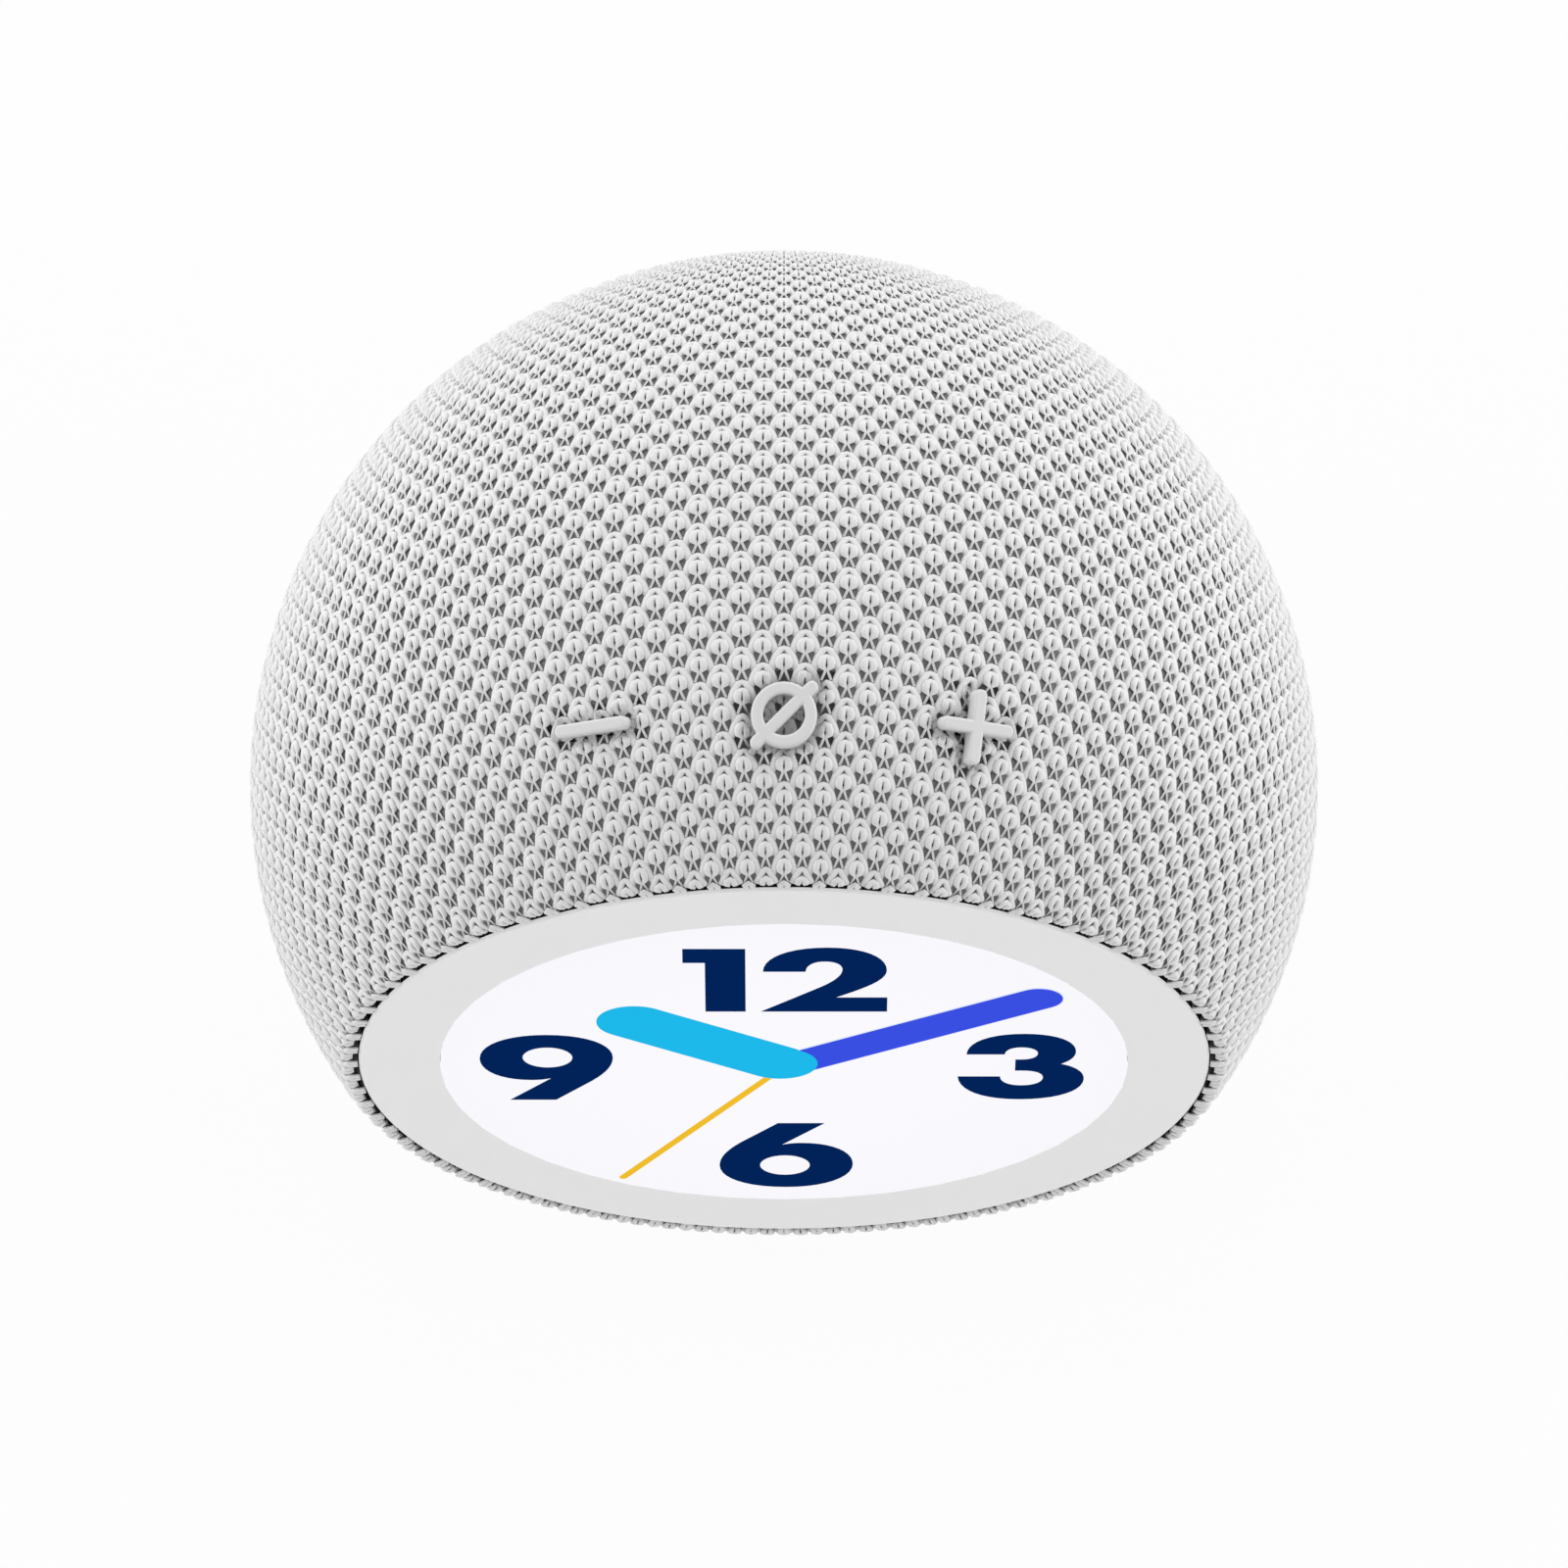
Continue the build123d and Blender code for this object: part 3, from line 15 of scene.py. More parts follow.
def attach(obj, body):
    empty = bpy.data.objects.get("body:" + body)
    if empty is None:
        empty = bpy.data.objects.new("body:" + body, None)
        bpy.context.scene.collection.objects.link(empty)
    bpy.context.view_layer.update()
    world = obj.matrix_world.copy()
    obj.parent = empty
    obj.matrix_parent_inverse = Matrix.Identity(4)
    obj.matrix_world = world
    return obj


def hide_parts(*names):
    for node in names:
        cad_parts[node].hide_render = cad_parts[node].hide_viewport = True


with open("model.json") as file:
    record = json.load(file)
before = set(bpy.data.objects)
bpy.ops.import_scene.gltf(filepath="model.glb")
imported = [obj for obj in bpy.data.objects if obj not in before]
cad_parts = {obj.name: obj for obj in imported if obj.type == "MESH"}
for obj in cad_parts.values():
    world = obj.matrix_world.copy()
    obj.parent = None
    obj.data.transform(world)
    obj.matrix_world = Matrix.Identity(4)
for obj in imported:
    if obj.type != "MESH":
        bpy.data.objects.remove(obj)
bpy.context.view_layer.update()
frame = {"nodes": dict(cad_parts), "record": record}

MM = 0.001
MERGE = 0.002 * MM
YARN_MAP = "OFBake"
LOG = logging.getLogger("ball_clock")

Colour = tuple[float, float, float]
Point = tuple[float, float]
YarnPoint = tuple[float, float, float, float]
Array = np.ndarray
Piece = bpy.types.Object
Socket = bpy.types.NodeSocket
Outputs = bpy.types.NodeOutputs


def shade(red: float, green: float, blue: float) -> Colour:
    """Turn a colour as a screen shows it, 0 to 255, into the scene's linear colour.

    Args:
        red: Red level.
        green: Green level.
        blue: Blue level.

    Returns:
        The linear colour, 0 to 1.
    """

    def one(level: float) -> float:
        """Linear value of one level."""
        part = level / 255
        return part / 12.92 if part <= 0.04045 else ((part + 0.055) / 1.055) ** 2.4

    return one(red), one(green), one(blue)


SCREEN_WHITE = shade(250, 249, 254)


class KeySide(Enum):
    """The three keys on the crown, by the side that they are on."""

    MINUS = -1
    MUTE = 0
    PLUS = 1


class Sight(Enum):
    """Kinds of ray that see the plain background."""

    CAMERA = "Is Camera Ray"
    GLOSSY = "Is Glossy Ray"
    TRANSMISSION = "Is Transmission Ray"


@dataclass(frozen=True)
class Globe:
    """The ball and its tilted face, in metres and radians."""

    radius: float = 55.0 * MM
    height: float = 46.741 * MM
    tilt: float = math.radians(17.8)
    face: float = 31.5 * MM
    hem: float = 2.32 * MM

    @property
    def centre(self) -> Vector:
        """The ball's centre."""
        return Vector((0.0, 0.0, self.height))

    def face_frame(self, along: float = 0.0) -> Matrix:
        """Place on the face's axis, with X to the right, Y up the face and Z outwards.

        Args:
            along: Distance from the ball's centre towards the face.

        Returns:
            The matrix of that place.
        """
        out = Vector((0.0, -math.cos(self.tilt), math.sin(self.tilt)))
        up = Vector((0.0, math.sin(self.tilt), math.cos(self.tilt)))
        place = Matrix((Vector((1.0, 0.0, 0.0)), up, out)).transposed().to_4x4()
        place.translation = self.centre + out * along
        return place


class Bench:
    """Modelling steps that several pieces share."""

    @staticmethod
    def clear() -> None:
        """Leave nothing selected."""
        bpy.ops.object.select_all(action="DESELECT")

    @staticmethod
    def pick(pieces: list[Piece]) -> None:
        """Select pieces only, the first of them as the active one.

        Args:
            pieces: Objects of the scene.
        """
        Bench.clear()
        for piece in pieces:
            piece.select_set(True)
        bpy.context.view_layer.objects.active = pieces[0]

    @staticmethod
    def mend() -> None:
        """Merge doubled points of the mesh in edit mode, turn its faces outwards and leave that mode."""
        bpy.ops.mesh.select_all(action="SELECT")
        bpy.ops.mesh.remove_doubles(threshold=MERGE)
        bpy.ops.mesh.normals_make_consistent(inside=False)
        bpy.ops.object.mode_set(mode="OBJECT")

    @staticmethod
    def curve(flat: bool) -> Piece:
        """Add a curve with no points yet.

        Args:
            flat: True for an outline in a plane, False for a line in space.

        Returns:
            The curve's object.
        """
        Bench.clear()
        bpy.ops.curve.primitive_bezier_curve_add()
        drawn = bpy.context.object
        drawn.data.splines.clear()
        drawn.data.dimensions = "2D" if flat else "3D"
        return drawn

    @staticmethod
    def to_mesh(drawn: Piece, name: str) -> Piece:
        """Turn a curve into a closed mesh.

        Args:
            drawn: The curve's object.
            name: Name of the mesh piece.

        Returns:
            The same object, now a mesh.
        """
        Bench.pick([drawn])
        bpy.ops.object.convert(target="MESH")
        bpy.ops.object.mode_set(mode="EDIT")
        Bench.mend()
        drawn.name = name
        drawn.data.name = name
        return drawn

    @staticmethod
    def join(pieces: list[Piece]) -> Piece:
        """Join meshes into the first of them.

        Args:
            pieces: Mesh objects.

        Returns:
            The joined object.
        """
        Bench.pick(pieces)
        bpy.ops.object.join()
        return pieces[0]

    @staticmethod
    def finish(piece: Piece, material: bpy.types.Material, slot: str) -> None:
        """Give a housing piece its material, and let it ride.

        Args:
            piece: The piece, in place.
            material: Its material.
            slot: The record's slot of that finish; not used.
        """
        piece.data.materials.clear()
        piece.data.materials.append(material)
        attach(piece, "housing")
        LOG.info("%s: %d faces", piece.name, len(piece.data.polygons))


class Graph:
    """Nodes of one tree, added with their values and links."""

    def __init__(self, tree: bpy.types.NodeTree) -> None:
        """Work on a tree."""
        self.tree = tree

    def add(self, kind: str, sockets: dict | None = None, **settings: object) -> bpy.types.Node:
        """Add a node.

        Args:
            kind: Blender's name of the node's class.
            sockets: Input name or number with its value, or with the output socket that feeds it.
            **settings: Properties of the node.

        Returns:
            The new node.
        """
        node = self.tree.nodes.new(kind)
        for name, value in settings.items():
            setattr(node, name, value)
        for name, value in (sockets or {}).items():
            if isinstance(value, Socket):
                self.tree.links.new(value, node.inputs[name])
            else:
                node.inputs[name].default_value = value
        return node

    def math(self, operation: str, first: object, second: object = 0.0) -> Socket:
        """Add a math node.

        Args:
            operation: What it does.
            first: Value or socket.
            second: Value or socket.

        Returns:
            Its output.
        """
        return self.add("ShaderNodeMath", {0: first, 1: second}, operation=operation).outputs[0]

    def tint(self, colour: Socket, level: Socket) -> Socket:
        """Scale a colour.

        Args:
            colour: The colour.
            level: What it is multiplied by.

        Returns:
            The scaled colour.
        """
        scaled = self.add("ShaderNodeVectorMath", {0: colour, "Scale": level}, operation="SCALE")
        return scaled.outputs[0]

    def sights(self) -> Socket:
        """Add a mask that is 1 for the rays that see the plain background.

        Returns:
            The mask.
        """
        path = self.add("ShaderNodeLightPath")
        mask = path.outputs[Sight.CAMERA.value]
        for sight in (Sight.GLOSSY, Sight.TRANSMISSION):
            mask = self.math("MAXIMUM", mask, path.outputs[sight.value])
        return mask


class Effect:
    """A shader node group with named sockets, built once and placed in each material."""

    name = "effect"
    inputs: dict[str, str] = {}
    outputs: dict[str, str] = {}

    @classmethod
    def tree(cls) -> bpy.types.NodeTree:
        """Find the group, or build it.

        Returns:
            The group's tree.
        """
        found = bpy.data.node_groups.get(cls.name)
        if found is not None:
            return found
        tree = bpy.data.node_groups.new(cls.name, "ShaderNodeTree")
        for name, kind in cls.inputs.items():
            tree.interface.new_socket(name=name, in_out="INPUT", socket_type=kind)
        for name, kind in cls.outputs.items():
            tree.interface.new_socket(name=name, in_out="OUTPUT", socket_type=kind)
        graph = Graph(tree)
        given = graph.add("NodeGroupInput").outputs
        graph.add("NodeGroupOutput", cls.wire(graph, given))
        return tree

    @classmethod
    def wire(cls, graph: Graph, given: Outputs) -> dict[str, Socket]:
        """Build the group's nodes.

        Args:
            graph: The group's graph.
            given: The group's inputs.

        Returns:
            What each output of the group is fed by.
        """
        raise NotImplementedError

    @classmethod
    def place(cls, graph: Graph, values: dict) -> Outputs:
        """Put the group in a material.

        Args:
            graph: The material's graph.
            values: The group's input values.

        Returns:
            The group's outputs.
        """
        node = graph.add("ShaderNodeGroup", node_tree=cls.tree())
        for name, value in values.items():
            node.inputs[name].default_value = value
        return node.outputs


class SurfaceGrain(Effect):
    """Fine grain of moulded, cast, drawn and printed surfaces."""

    name = "surface_grain"
    inputs = {
        "Colour": "NodeSocketColor",
        "Tone": "NodeSocketFloat",
        "Scale": "NodeSocketFloat",
        "Stretch": "NodeSocketVector",
        "Roughness": "NodeSocketFloat",
        "Spread": "NodeSocketFloat",
    }
    outputs = {"Colour": "NodeSocketColor", "Roughness": "NodeSocketFloat", "Height": "NodeSocketFloat"}
    broad_scale = 90.0

    @classmethod
    def wire(cls, graph: Graph, given: Outputs) -> dict[str, Socket]:
        """Build fine noise for height and roughness, and broad noise for tone.

        Args:
            graph: The group's graph.
            given: The group's inputs.

        Returns:
            What each output of the group is fed by.
        """
        place = graph.add("ShaderNodeTexCoord").outputs["Object"]
        drawn = graph.add("ShaderNodeMapping", {"Vector": place, "Scale": given["Stretch"]}).outputs[0]
        fine = graph.add("ShaderNodeTexNoise", {"Vector": drawn, "Scale": given["Scale"], "Detail": 3.0})
        broad = graph.add("ShaderNodeTexNoise", {"Vector": place, "Scale": cls.broad_scale, "Detail": 2.0})
        lean = graph.math("SUBTRACT", broad.outputs["Fac"], 0.5)
        level = graph.math("ADD", graph.math("MULTIPLY", lean, given["Tone"]), 1.0)
        swing = graph.math("SUBTRACT", fine.outputs["Fac"], 0.5)
        rough = graph.math("ADD", graph.math("MULTIPLY", swing, given["Spread"]), given["Roughness"])
        colour = graph.tint(given["Colour"], level)
        return {"Colour": colour, "Roughness": rough, "Height": fine.outputs["Fac"]}


class YarnFilaments(Effect):
    """Twisted filaments along a yarn, from the yarn's own map."""

    name = "yarn_filaments"
    inputs = {"Colour": "NodeSocketColor", "Tone": "NodeSocketFloat", "Filaments": "NodeSocketFloat"}
    outputs = {"Colour": "NodeSocketColor", "Roughness": "NodeSocketFloat", "Height": "NodeSocketFloat"}
    twist = 0.2
    breaks = 5.0
    roughness = 0.7
    spread = 0.2

    @classmethod
    def wire(cls, graph: Graph, given: Outputs) -> dict[str, Socket]:
        """Build streaks that run along the yarn and turn round it.

        Args:
            graph: The group's graph.
            given: The group's inputs.

        Returns:
            What each output of the group is fed by.
        """
        map_node = graph.add("ShaderNodeUVMap", uv_map=YARN_MAP)
        split = graph.add("ShaderNodeSeparateXYZ", {0: map_node.outputs[0]}).outputs
        turned = graph.math("ADD", split["X"], graph.math("MULTIPLY", split["Y"], cls.twist))
        across = graph.math("MULTIPLY", turned, given["Filaments"])
        along = graph.math("MULTIPLY", split["Y"], cls.breaks)
        streak = graph.add("ShaderNodeCombineXYZ", {"X": across, "Y": along})
        noise = graph.add("ShaderNodeTexNoise", {"Vector": streak.outputs[0], "Scale": 1.0, "Detail": 2.0})
        fibre = noise.outputs["Fac"]
        lean = graph.math("MULTIPLY", graph.math("SUBTRACT", fibre, 0.5), given["Tone"])
        level = graph.math("ADD", lean, 1.0)
        rough = graph.math("ADD", graph.math("MULTIPLY", fibre, cls.spread), cls.roughness)
        return {"Colour": graph.tint(given["Colour"], level), "Roughness": rough, "Height": fibre}


class BacklightGlow(Effect):
    """Light of a screen that falls off a little towards its edge."""

    name = "backlight_glow"
    inputs = {"Colour": "NodeSocketColor", "Fall": "NodeSocketFloat", "Centre": "NodeSocketVector"}
    outputs = {"Colour": "NodeSocketColor"}
    screen_radius = 35.0 * MM

    @classmethod
    def wire(cls, graph: Graph, given: Outputs) -> dict[str, Socket]:
        """Build the fall of light with the distance from the screen's middle.

        Args:
            graph: The group's graph.
            given: The group's inputs.

        Returns:
            What each output of the group is fed by.
        """
        place = graph.add("ShaderNodeTexCoord").outputs["Object"]
        reach = graph.add("ShaderNodeVectorMath", {0: place, 1: given["Centre"]}, operation="DISTANCE")
        share = graph.math("DIVIDE", reach.outputs["Value"], cls.screen_radius)
        fall = graph.math("MULTIPLY", graph.math("MULTIPLY", share, share), given["Fall"])
        level = graph.math("SUBTRACT", 1.0, fall)
        return {"Colour": graph.tint(given["Colour"], level)}


@dataclass(frozen=True)
class Finish:
    """A moulded, cast, drawn or printed surface."""

    name: str
    colour: Colour
    roughness: float = 0.55
    metallic: float = 0.0
    specular: float = 0.4
    tone: float = 0.04
    scale: float = 5000.0
    stretch: tuple[float, float, float] = (1.0, 1.0, 1.0)
    spread: float = 0.12
    depth: float = 0.02
    strength: float = 0.5
    sheen: float = 0.0
    sheen_roughness: float = 0.4

    def material(self) -> bpy.types.Material:
        """Find this finish's material, or make it.

        Returns:
            The material.
        """
        found = bpy.data.materials.get(self.name)
        if found is not None:
            return found
        material = bpy.data.materials.new(self.name)
        material.use_nodes = True
        material.node_tree.nodes.clear()
        graph = Graph(material.node_tree)
        shader = self.shader(graph)
        graph.add("ShaderNodeOutputMaterial", {"Surface": shader.outputs[0]})
        return material

    def pattern(self, graph: Graph) -> Outputs:
        """Place the surface's pattern.

        Args:
            graph: The material's graph.

        Returns:
            The pattern's colour, roughness and height.
        """
        values = {
            "Colour": (*self.colour, 1.0),
            "Tone": self.tone,
            "Scale": self.scale,
            "Stretch": self.stretch,
            "Roughness": self.roughness,
            "Spread": self.spread,
        }
        return SurfaceGrain.place(graph, values)

    def shader(self, graph: Graph) -> bpy.types.Node:
        """Build the surface from its pattern.

        Args:
            graph: The material's graph.

        Returns:
            The surface's shader node.
        """
        pattern = self.pattern(graph)
        relief = {"Strength": self.strength, "Distance": self.depth * MM, "Height": pattern["Height"]}
        bump = graph.add("ShaderNodeBump", relief)
        return graph.add(
            "ShaderNodeBsdfPrincipled",
            {
                "Base Color": pattern["Colour"],
                "Roughness": pattern["Roughness"],
                "Metallic": self.metallic,
                "Specular IOR Level": self.specular,
                "Sheen Weight": self.sheen,
                "Sheen Roughness": self.sheen_roughness,
                "Normal": bump.outputs[0],
            },
        )


@dataclass(frozen=True)
class YarnFinish(Finish):
    """Spun yarn with a soft sheen."""

    strength: float = 0.6
    sheen_roughness: float = 0.5
    filaments: float = 28.0

    def pattern(self, graph: Graph) -> Outputs:
        """Place the yarn's filaments.

        Args:
            graph: The material's graph.

        Returns:
            The pattern's colour, roughness and height.
        """
        values = {"Colour": (*self.colour, 1.0), "Tone": self.tone, "Filaments": self.filaments}
        return YarnFilaments.place(graph, values)


@dataclass(frozen=True)
class RimmedFinish(Finish):
    """A front whose colour turns black on the surface below the front's edge."""

    centre: tuple[float, float, float] = (0.0, 0.0, 0.0)
    out: tuple[float, float, float] = (0.0, 0.0, 1.0)
    rim: float = 0.28 * MM
    black: Colour = (0.008, 0.008, 0.008)

    def shader(self, graph: Graph) -> bpy.types.Node:
        """Build the surface, black below the front's edge.

        Args:
            graph: The material's graph.

        Returns:
            The surface's shader node.
        """
        surface = super().shader(graph)
        front = surface.inputs["Base Color"].links[0].from_socket
        place = graph.add("ShaderNodeTexCoord").outputs["Object"]
        shift = graph.add("ShaderNodeVectorMath", {0: place, 1: self.centre}, operation="SUBTRACT")
        along = graph.add("ShaderNodeVectorMath", {0: shift.outputs[0], 1: self.out}, operation="DOT_PRODUCT")
        mask = graph.math("GREATER_THAN", along.outputs["Value"], -self.rim)
        colours = {"Factor": mask, 6: (*self.black, 1.0), 7: front}
        mixed = graph.add("ShaderNodeMix", colours, data_type="RGBA")
        graph.tree.links.new(mixed.outputs[2], surface.inputs["Base Color"])
        return surface


@dataclass(frozen=True)
class LitFinish(Finish):
    """A lit picture behind a clear lens."""

    fall: float = 0.015
    centre: tuple[float, float, float] = (0.0, 0.0, 0.0)

    def shader(self, graph: Graph) -> bpy.types.Node:
        """Build the lit surface.

        Args:
            graph: The material's graph.

        Returns:
            The surface's shader node.
        """
        values = {"Colour": (*self.colour, 1.0), "Fall": self.fall, "Centre": self.centre}
        glow = BacklightGlow.place(graph, values)
        return graph.add(
            "ShaderNodeBsdfPrincipled",
            {
                "Base Color": (0.0, 0.0, 0.0, 1.0),
                "Roughness": self.roughness,
                "Specular IOR Level": self.specular,
                "Emission Color": glow["Colour"],
                "Emission Strength": 1.0,
            },
        )


@dataclass(frozen=True)
class Yarn:
    """One run of yarn in a stitch, by its left half: across, along, depth and radius, in mm."""

    half: tuple[YarnPoint, ...]
    flat: float
    sides: int = 6

    def points(self) -> tuple[YarnPoint, ...]:
        """The whole run, with its right half mirrored about the last point."""
        back = self.half[-2::-1]
        return self.half + tuple((-across, along, depth, radius) for across, along, depth, radius in back)

    def tube(self, tile: int) -> Piece:
        """Model the run as a closed tube in the flat knit.

        Args:
            tile: Which half of the yarn's map it takes.

        Returns:
            The tube, across on X, along on Y and outwards on Z.
        """
        drawn = Bench.curve(flat=False)
        drawn.data.bevel_depth = 1.0
        drawn.data.bevel_resolution = self.sides // 2 - 2
        drawn.data.use_fill_caps = True
        spline = drawn.data.splines.new("POLY")
        points = self.points()
        spline.points.add(len(points) - 1)
        for point, (across, along, depth, radius) in zip(spline.points, points):
            point.co = (across * MM, along * MM, -depth * MM / self.flat, 1.0)
            point.radius = radius * MM
        tube = Bench.to_mesh(drawn, "yarn")
        tube.data.transform(Matrix.Diagonal((1.0, 1.0, self.flat, 1.0)))
        layer = tube.data.uv_layers[0]
        layer.name = YARN_MAP
        places = np.empty(2 * len(layer.data))
        layer.data.foreach_get("uv", places)
        places[0::2] = (np.clip(places[0::2], 0.0, 1.0) + tile) / 2
        layer.data.foreach_set("uv", places)
        return tube


@dataclass(frozen=True)
class KeyGap:
    """Knit pressed down round one key, so that the key can travel."""

    side: KeySide
    globe: Globe
    angle: float = math.radians(20.0)
    forward: float = 0.75 * MM
    turn: float = math.radians(6.5)
    bar: tuple[float, float] = (7.5 * MM, 1.3 * MM)
    ring: tuple[float, float] = (3.25 * MM, 1.2 * MM)
    slash: tuple[float, float] = (8.95 * MM, 1.2 * MM)
    floor: float = 53.78 * MM
    start: float = 0.48 * MM
    end: float = 0.80 * MM

    def axes(self) -> Array:
        """Directions of the key: across, up and out.

        Returns:
            Three rows, one for each direction.
        """
        lean = self.side.value * math.sin(self.angle)
        forward = -abs(self.side.value) * self.forward / self.globe.radius
        out = Vector((lean, forward, math.sqrt(1 - lean**2 - forward**2)))
        across = Vector((1.0, 0.0, 0.0)) - out * lean
        across.normalize()
        turn = Matrix.Rotation(-self.side.value * self.turn, 3, out)
        across = turn @ across
        return np.array((across, out.cross(across), out))

    @staticmethod
    def from_bar(x: Array, y: Array, size: tuple[float, float], turn: float) -> Array:
        """Distance from a bar about the middle.

        Args:
            x: Places across.
            y: Places up.
            size: Length and width.
            turn: Angle of the bar.

        Returns:
            Distances, negative inside.
        """
        run = np.abs(x * math.cos(turn) + y * math.sin(turn)) - size[0] / 2
        side = np.abs(y * math.cos(turn) - x * math.sin(turn)) - size[1] / 2
        outside = np.hypot(np.maximum(run, 0), np.maximum(side, 0))
        return outside + np.minimum(np.maximum(run, side), 0)

    def distance(self, x: Array, y: Array) -> Array:
        """Distance from the key's symbol.

        Args:
            x: Places across.
            y: Places up.

        Returns:
            Distances, negative inside.
        """
        if self.side is KeySide.MUTE:
            middle = self.ring[0] - self.ring[1] / 2
            ring = np.abs(np.hypot(x, y) - middle) - self.ring[1] / 2
            return np.minimum(ring, self.from_bar(x, y, self.slash, math.radians(45)))
        level = self.from_bar(x, y, self.bar, 0.0)
        if self.side is KeySide.MINUS:
            return level
        return np.minimum(level, self.from_bar(x, y, self.bar, math.radians(90)))

    def near(self, places: Array) -> Array:
        """Distances of points from the key's symbol, seen along the key.

        Args:
            places: Points about the ball's centre.

        Returns:
            Distances, large on the ball's far side.
        """
        x, y, out = self.axes() @ places.T
        return np.where(out > 0, self.distance(x, y), 1.0)

    def press(self, places: Array) -> Array:
        """Press knit down beside the key.

        Args:
            places: Points about the ball's centre.

        Returns:
            The points, those near the key lowered.
        """
        near = self.near(places)
        share = np.clip((near - self.start) / (self.end - self.start), 0.0, 1.0)
        limit = self.floor + (self.globe.radius - self.floor) * share
        radius = np.linalg.norm(places, axis=1)
        scale = np.where(near < self.end, np.minimum(limit / radius, 1.0), 1.0)
        return places * scale[:, None]


@dataclass
class KnitCover:
    """The knitted cover: columns of stitches from the face back to the rear cap, in panels."""

    globe: Globe
    columns: int = 80
    panels: int = 8
    pitch: float = 3.40 * MM
    first: float = 0.68 * MM
    edge: float = math.radians(55.32)
    rear: float = math.radians(158.6)
    # The hem rolls over the face's edge, is pulled in and flat there, and turns in beside the bezel.
    roll: float = 0.7 * MM
    bend: float = math.radians(65.3)
    hem_flat: float = 0.6
    hem_ends: tuple[float, float] = (-2.02 * MM, -1.50 * MM)
    hem_pull: float = 0.5 * MM
    hem_turn: float = 0.8 * MM
    hem_row: float = 0.75
    flat_run: tuple[float, float] = (0.2 * MM, 1.0 * MM)
    pull_run: tuple[float, float] = (0.6 * MM, -1.0 * MM)
    roll_share: float = 0.9
    free_depth: float = 2.0 * MM
    free_turn: float = 0.5
    base_spare: float = 1.0 * MM
    rear_gap: float = 0.15 * MM
    loop: Yarn = Yarn(
        (
            (-0.52, -1.20, 0.50, 0.15),
            (-0.10, -0.22, 0.46, 0.17),
            (-0.46, 0.15, 0.36, 0.40),
            (-0.48, 0.55, 0.26, 0.44),
            (-0.36, 0.91, 0.28, 0.42),
            (0.0, 1.13, 0.34, 0.32),
        ),
        0.55,
    )
    tent: Yarn = Yarn(
        (
            (-1.44, -0.25, 0.64, 0.40),
            (-1.10, 0.42, 0.58, 0.46),
            (-0.82, 1.15, 0.54, 0.44),
            (-0.40, 1.80, 0.48, 0.39),
            (0.0, 1.98, 0.52, 0.30),
        ),
        0.55,
    )
    bead: Yarn = Yarn(
        (
            (-0.28, 0.60, 0.24, 0.36),
            (-0.36, 1.30, 0.12, 0.42),
            (-0.46, 1.95, 0.22, 0.44),
            (0.0, 2.30, 0.30, 0.40),
        ),
        0.7,
    )

    @property
    def length(self) -> float:
        """Arc of the knit from the face's edge to the rear cap."""
        return self.globe.radius * (self.rear - self.edge)

    def necks(self) -> tuple[Array, Array, Array]:
        """Places of the stitches' necks that lie above the base.

        Returns:
            Angles round the face's axis, arcs from the face's edge, and arcs at which the knit ends.
        """
        last = self.length - self.rear_gap
        angles: list[float] = []
        arcs: list[float] = []
        ends: list[float] = []
        for half in range(2 * self.columns):
            start = self.first - self.pitch * (0.5 if half % 2 else 1.0)
            for arc in np.arange(start, last, self.pitch):
                angles.append(math.pi * half / self.columns)
                arcs.append(float(arc))
                ends.append(self.hem_ends[half % 2])
        angle = np.array(angles)
        arc = np.array(arcs)
        flush = np.zeros(len(angles))
        height = self.wrap(angle, arc, flush, flush)[:, 2]
        keep = height > self.globe.hem - self.globe.height - self.base_spare
        return angle[keep], arc[keep], np.array(ends)[keep]

    def wrap(self, angle: Array, arc: Array, depth: Array, past: Array) -> Array:
        """Lay flat knit on the ball, rolled over and pulled flat at the face's edge.

        Args:
            angle: Angles round the face's axis, from its upper side to the right.
            arc: Arcs from the face's edge, negative on the roll.
            depth: Depths below the ball's outside.
            past: Lengths past the knit's end, which turn in beside the bezel.

        Returns:
            Points about the ball's centre.
        """
        turn = np.clip(-arc / self.roll, 0.0, self.bend)
        run = np.maximum(-arc - self.roll * self.bend, 0.0)
        lean = self.edge + np.maximum(arc, 0.0) / self.globe.radius - turn
        start, end = self.flat_run
        share = np.clip((-arc - start) / (end - start), 0.0, 1.0)
        pulled = depth * (1 - (1 - self.hem_flat) * share)
        free = self.free_depth * (1 - np.clip(turn / self.free_turn, 0.0, 1.0))
        limit = self.roll_share * self.roll + free
        reach = self.roll - np.minimum(pulled, limit) - past
        pivot = self.globe.radius - self.roll
        ring = pivot * np.sin(lean + turn) + reach * np.sin(lean) - run * np.cos(lean)
        out = pivot * np.cos(lean + turn) + reach * np.cos(lean) + run * np.sin(lean)
        local = np.column_stack((ring * np.sin(angle), ring * np.cos(angle), out))
        return local @ np.array(self.globe.face_frame().to_3x3()).T

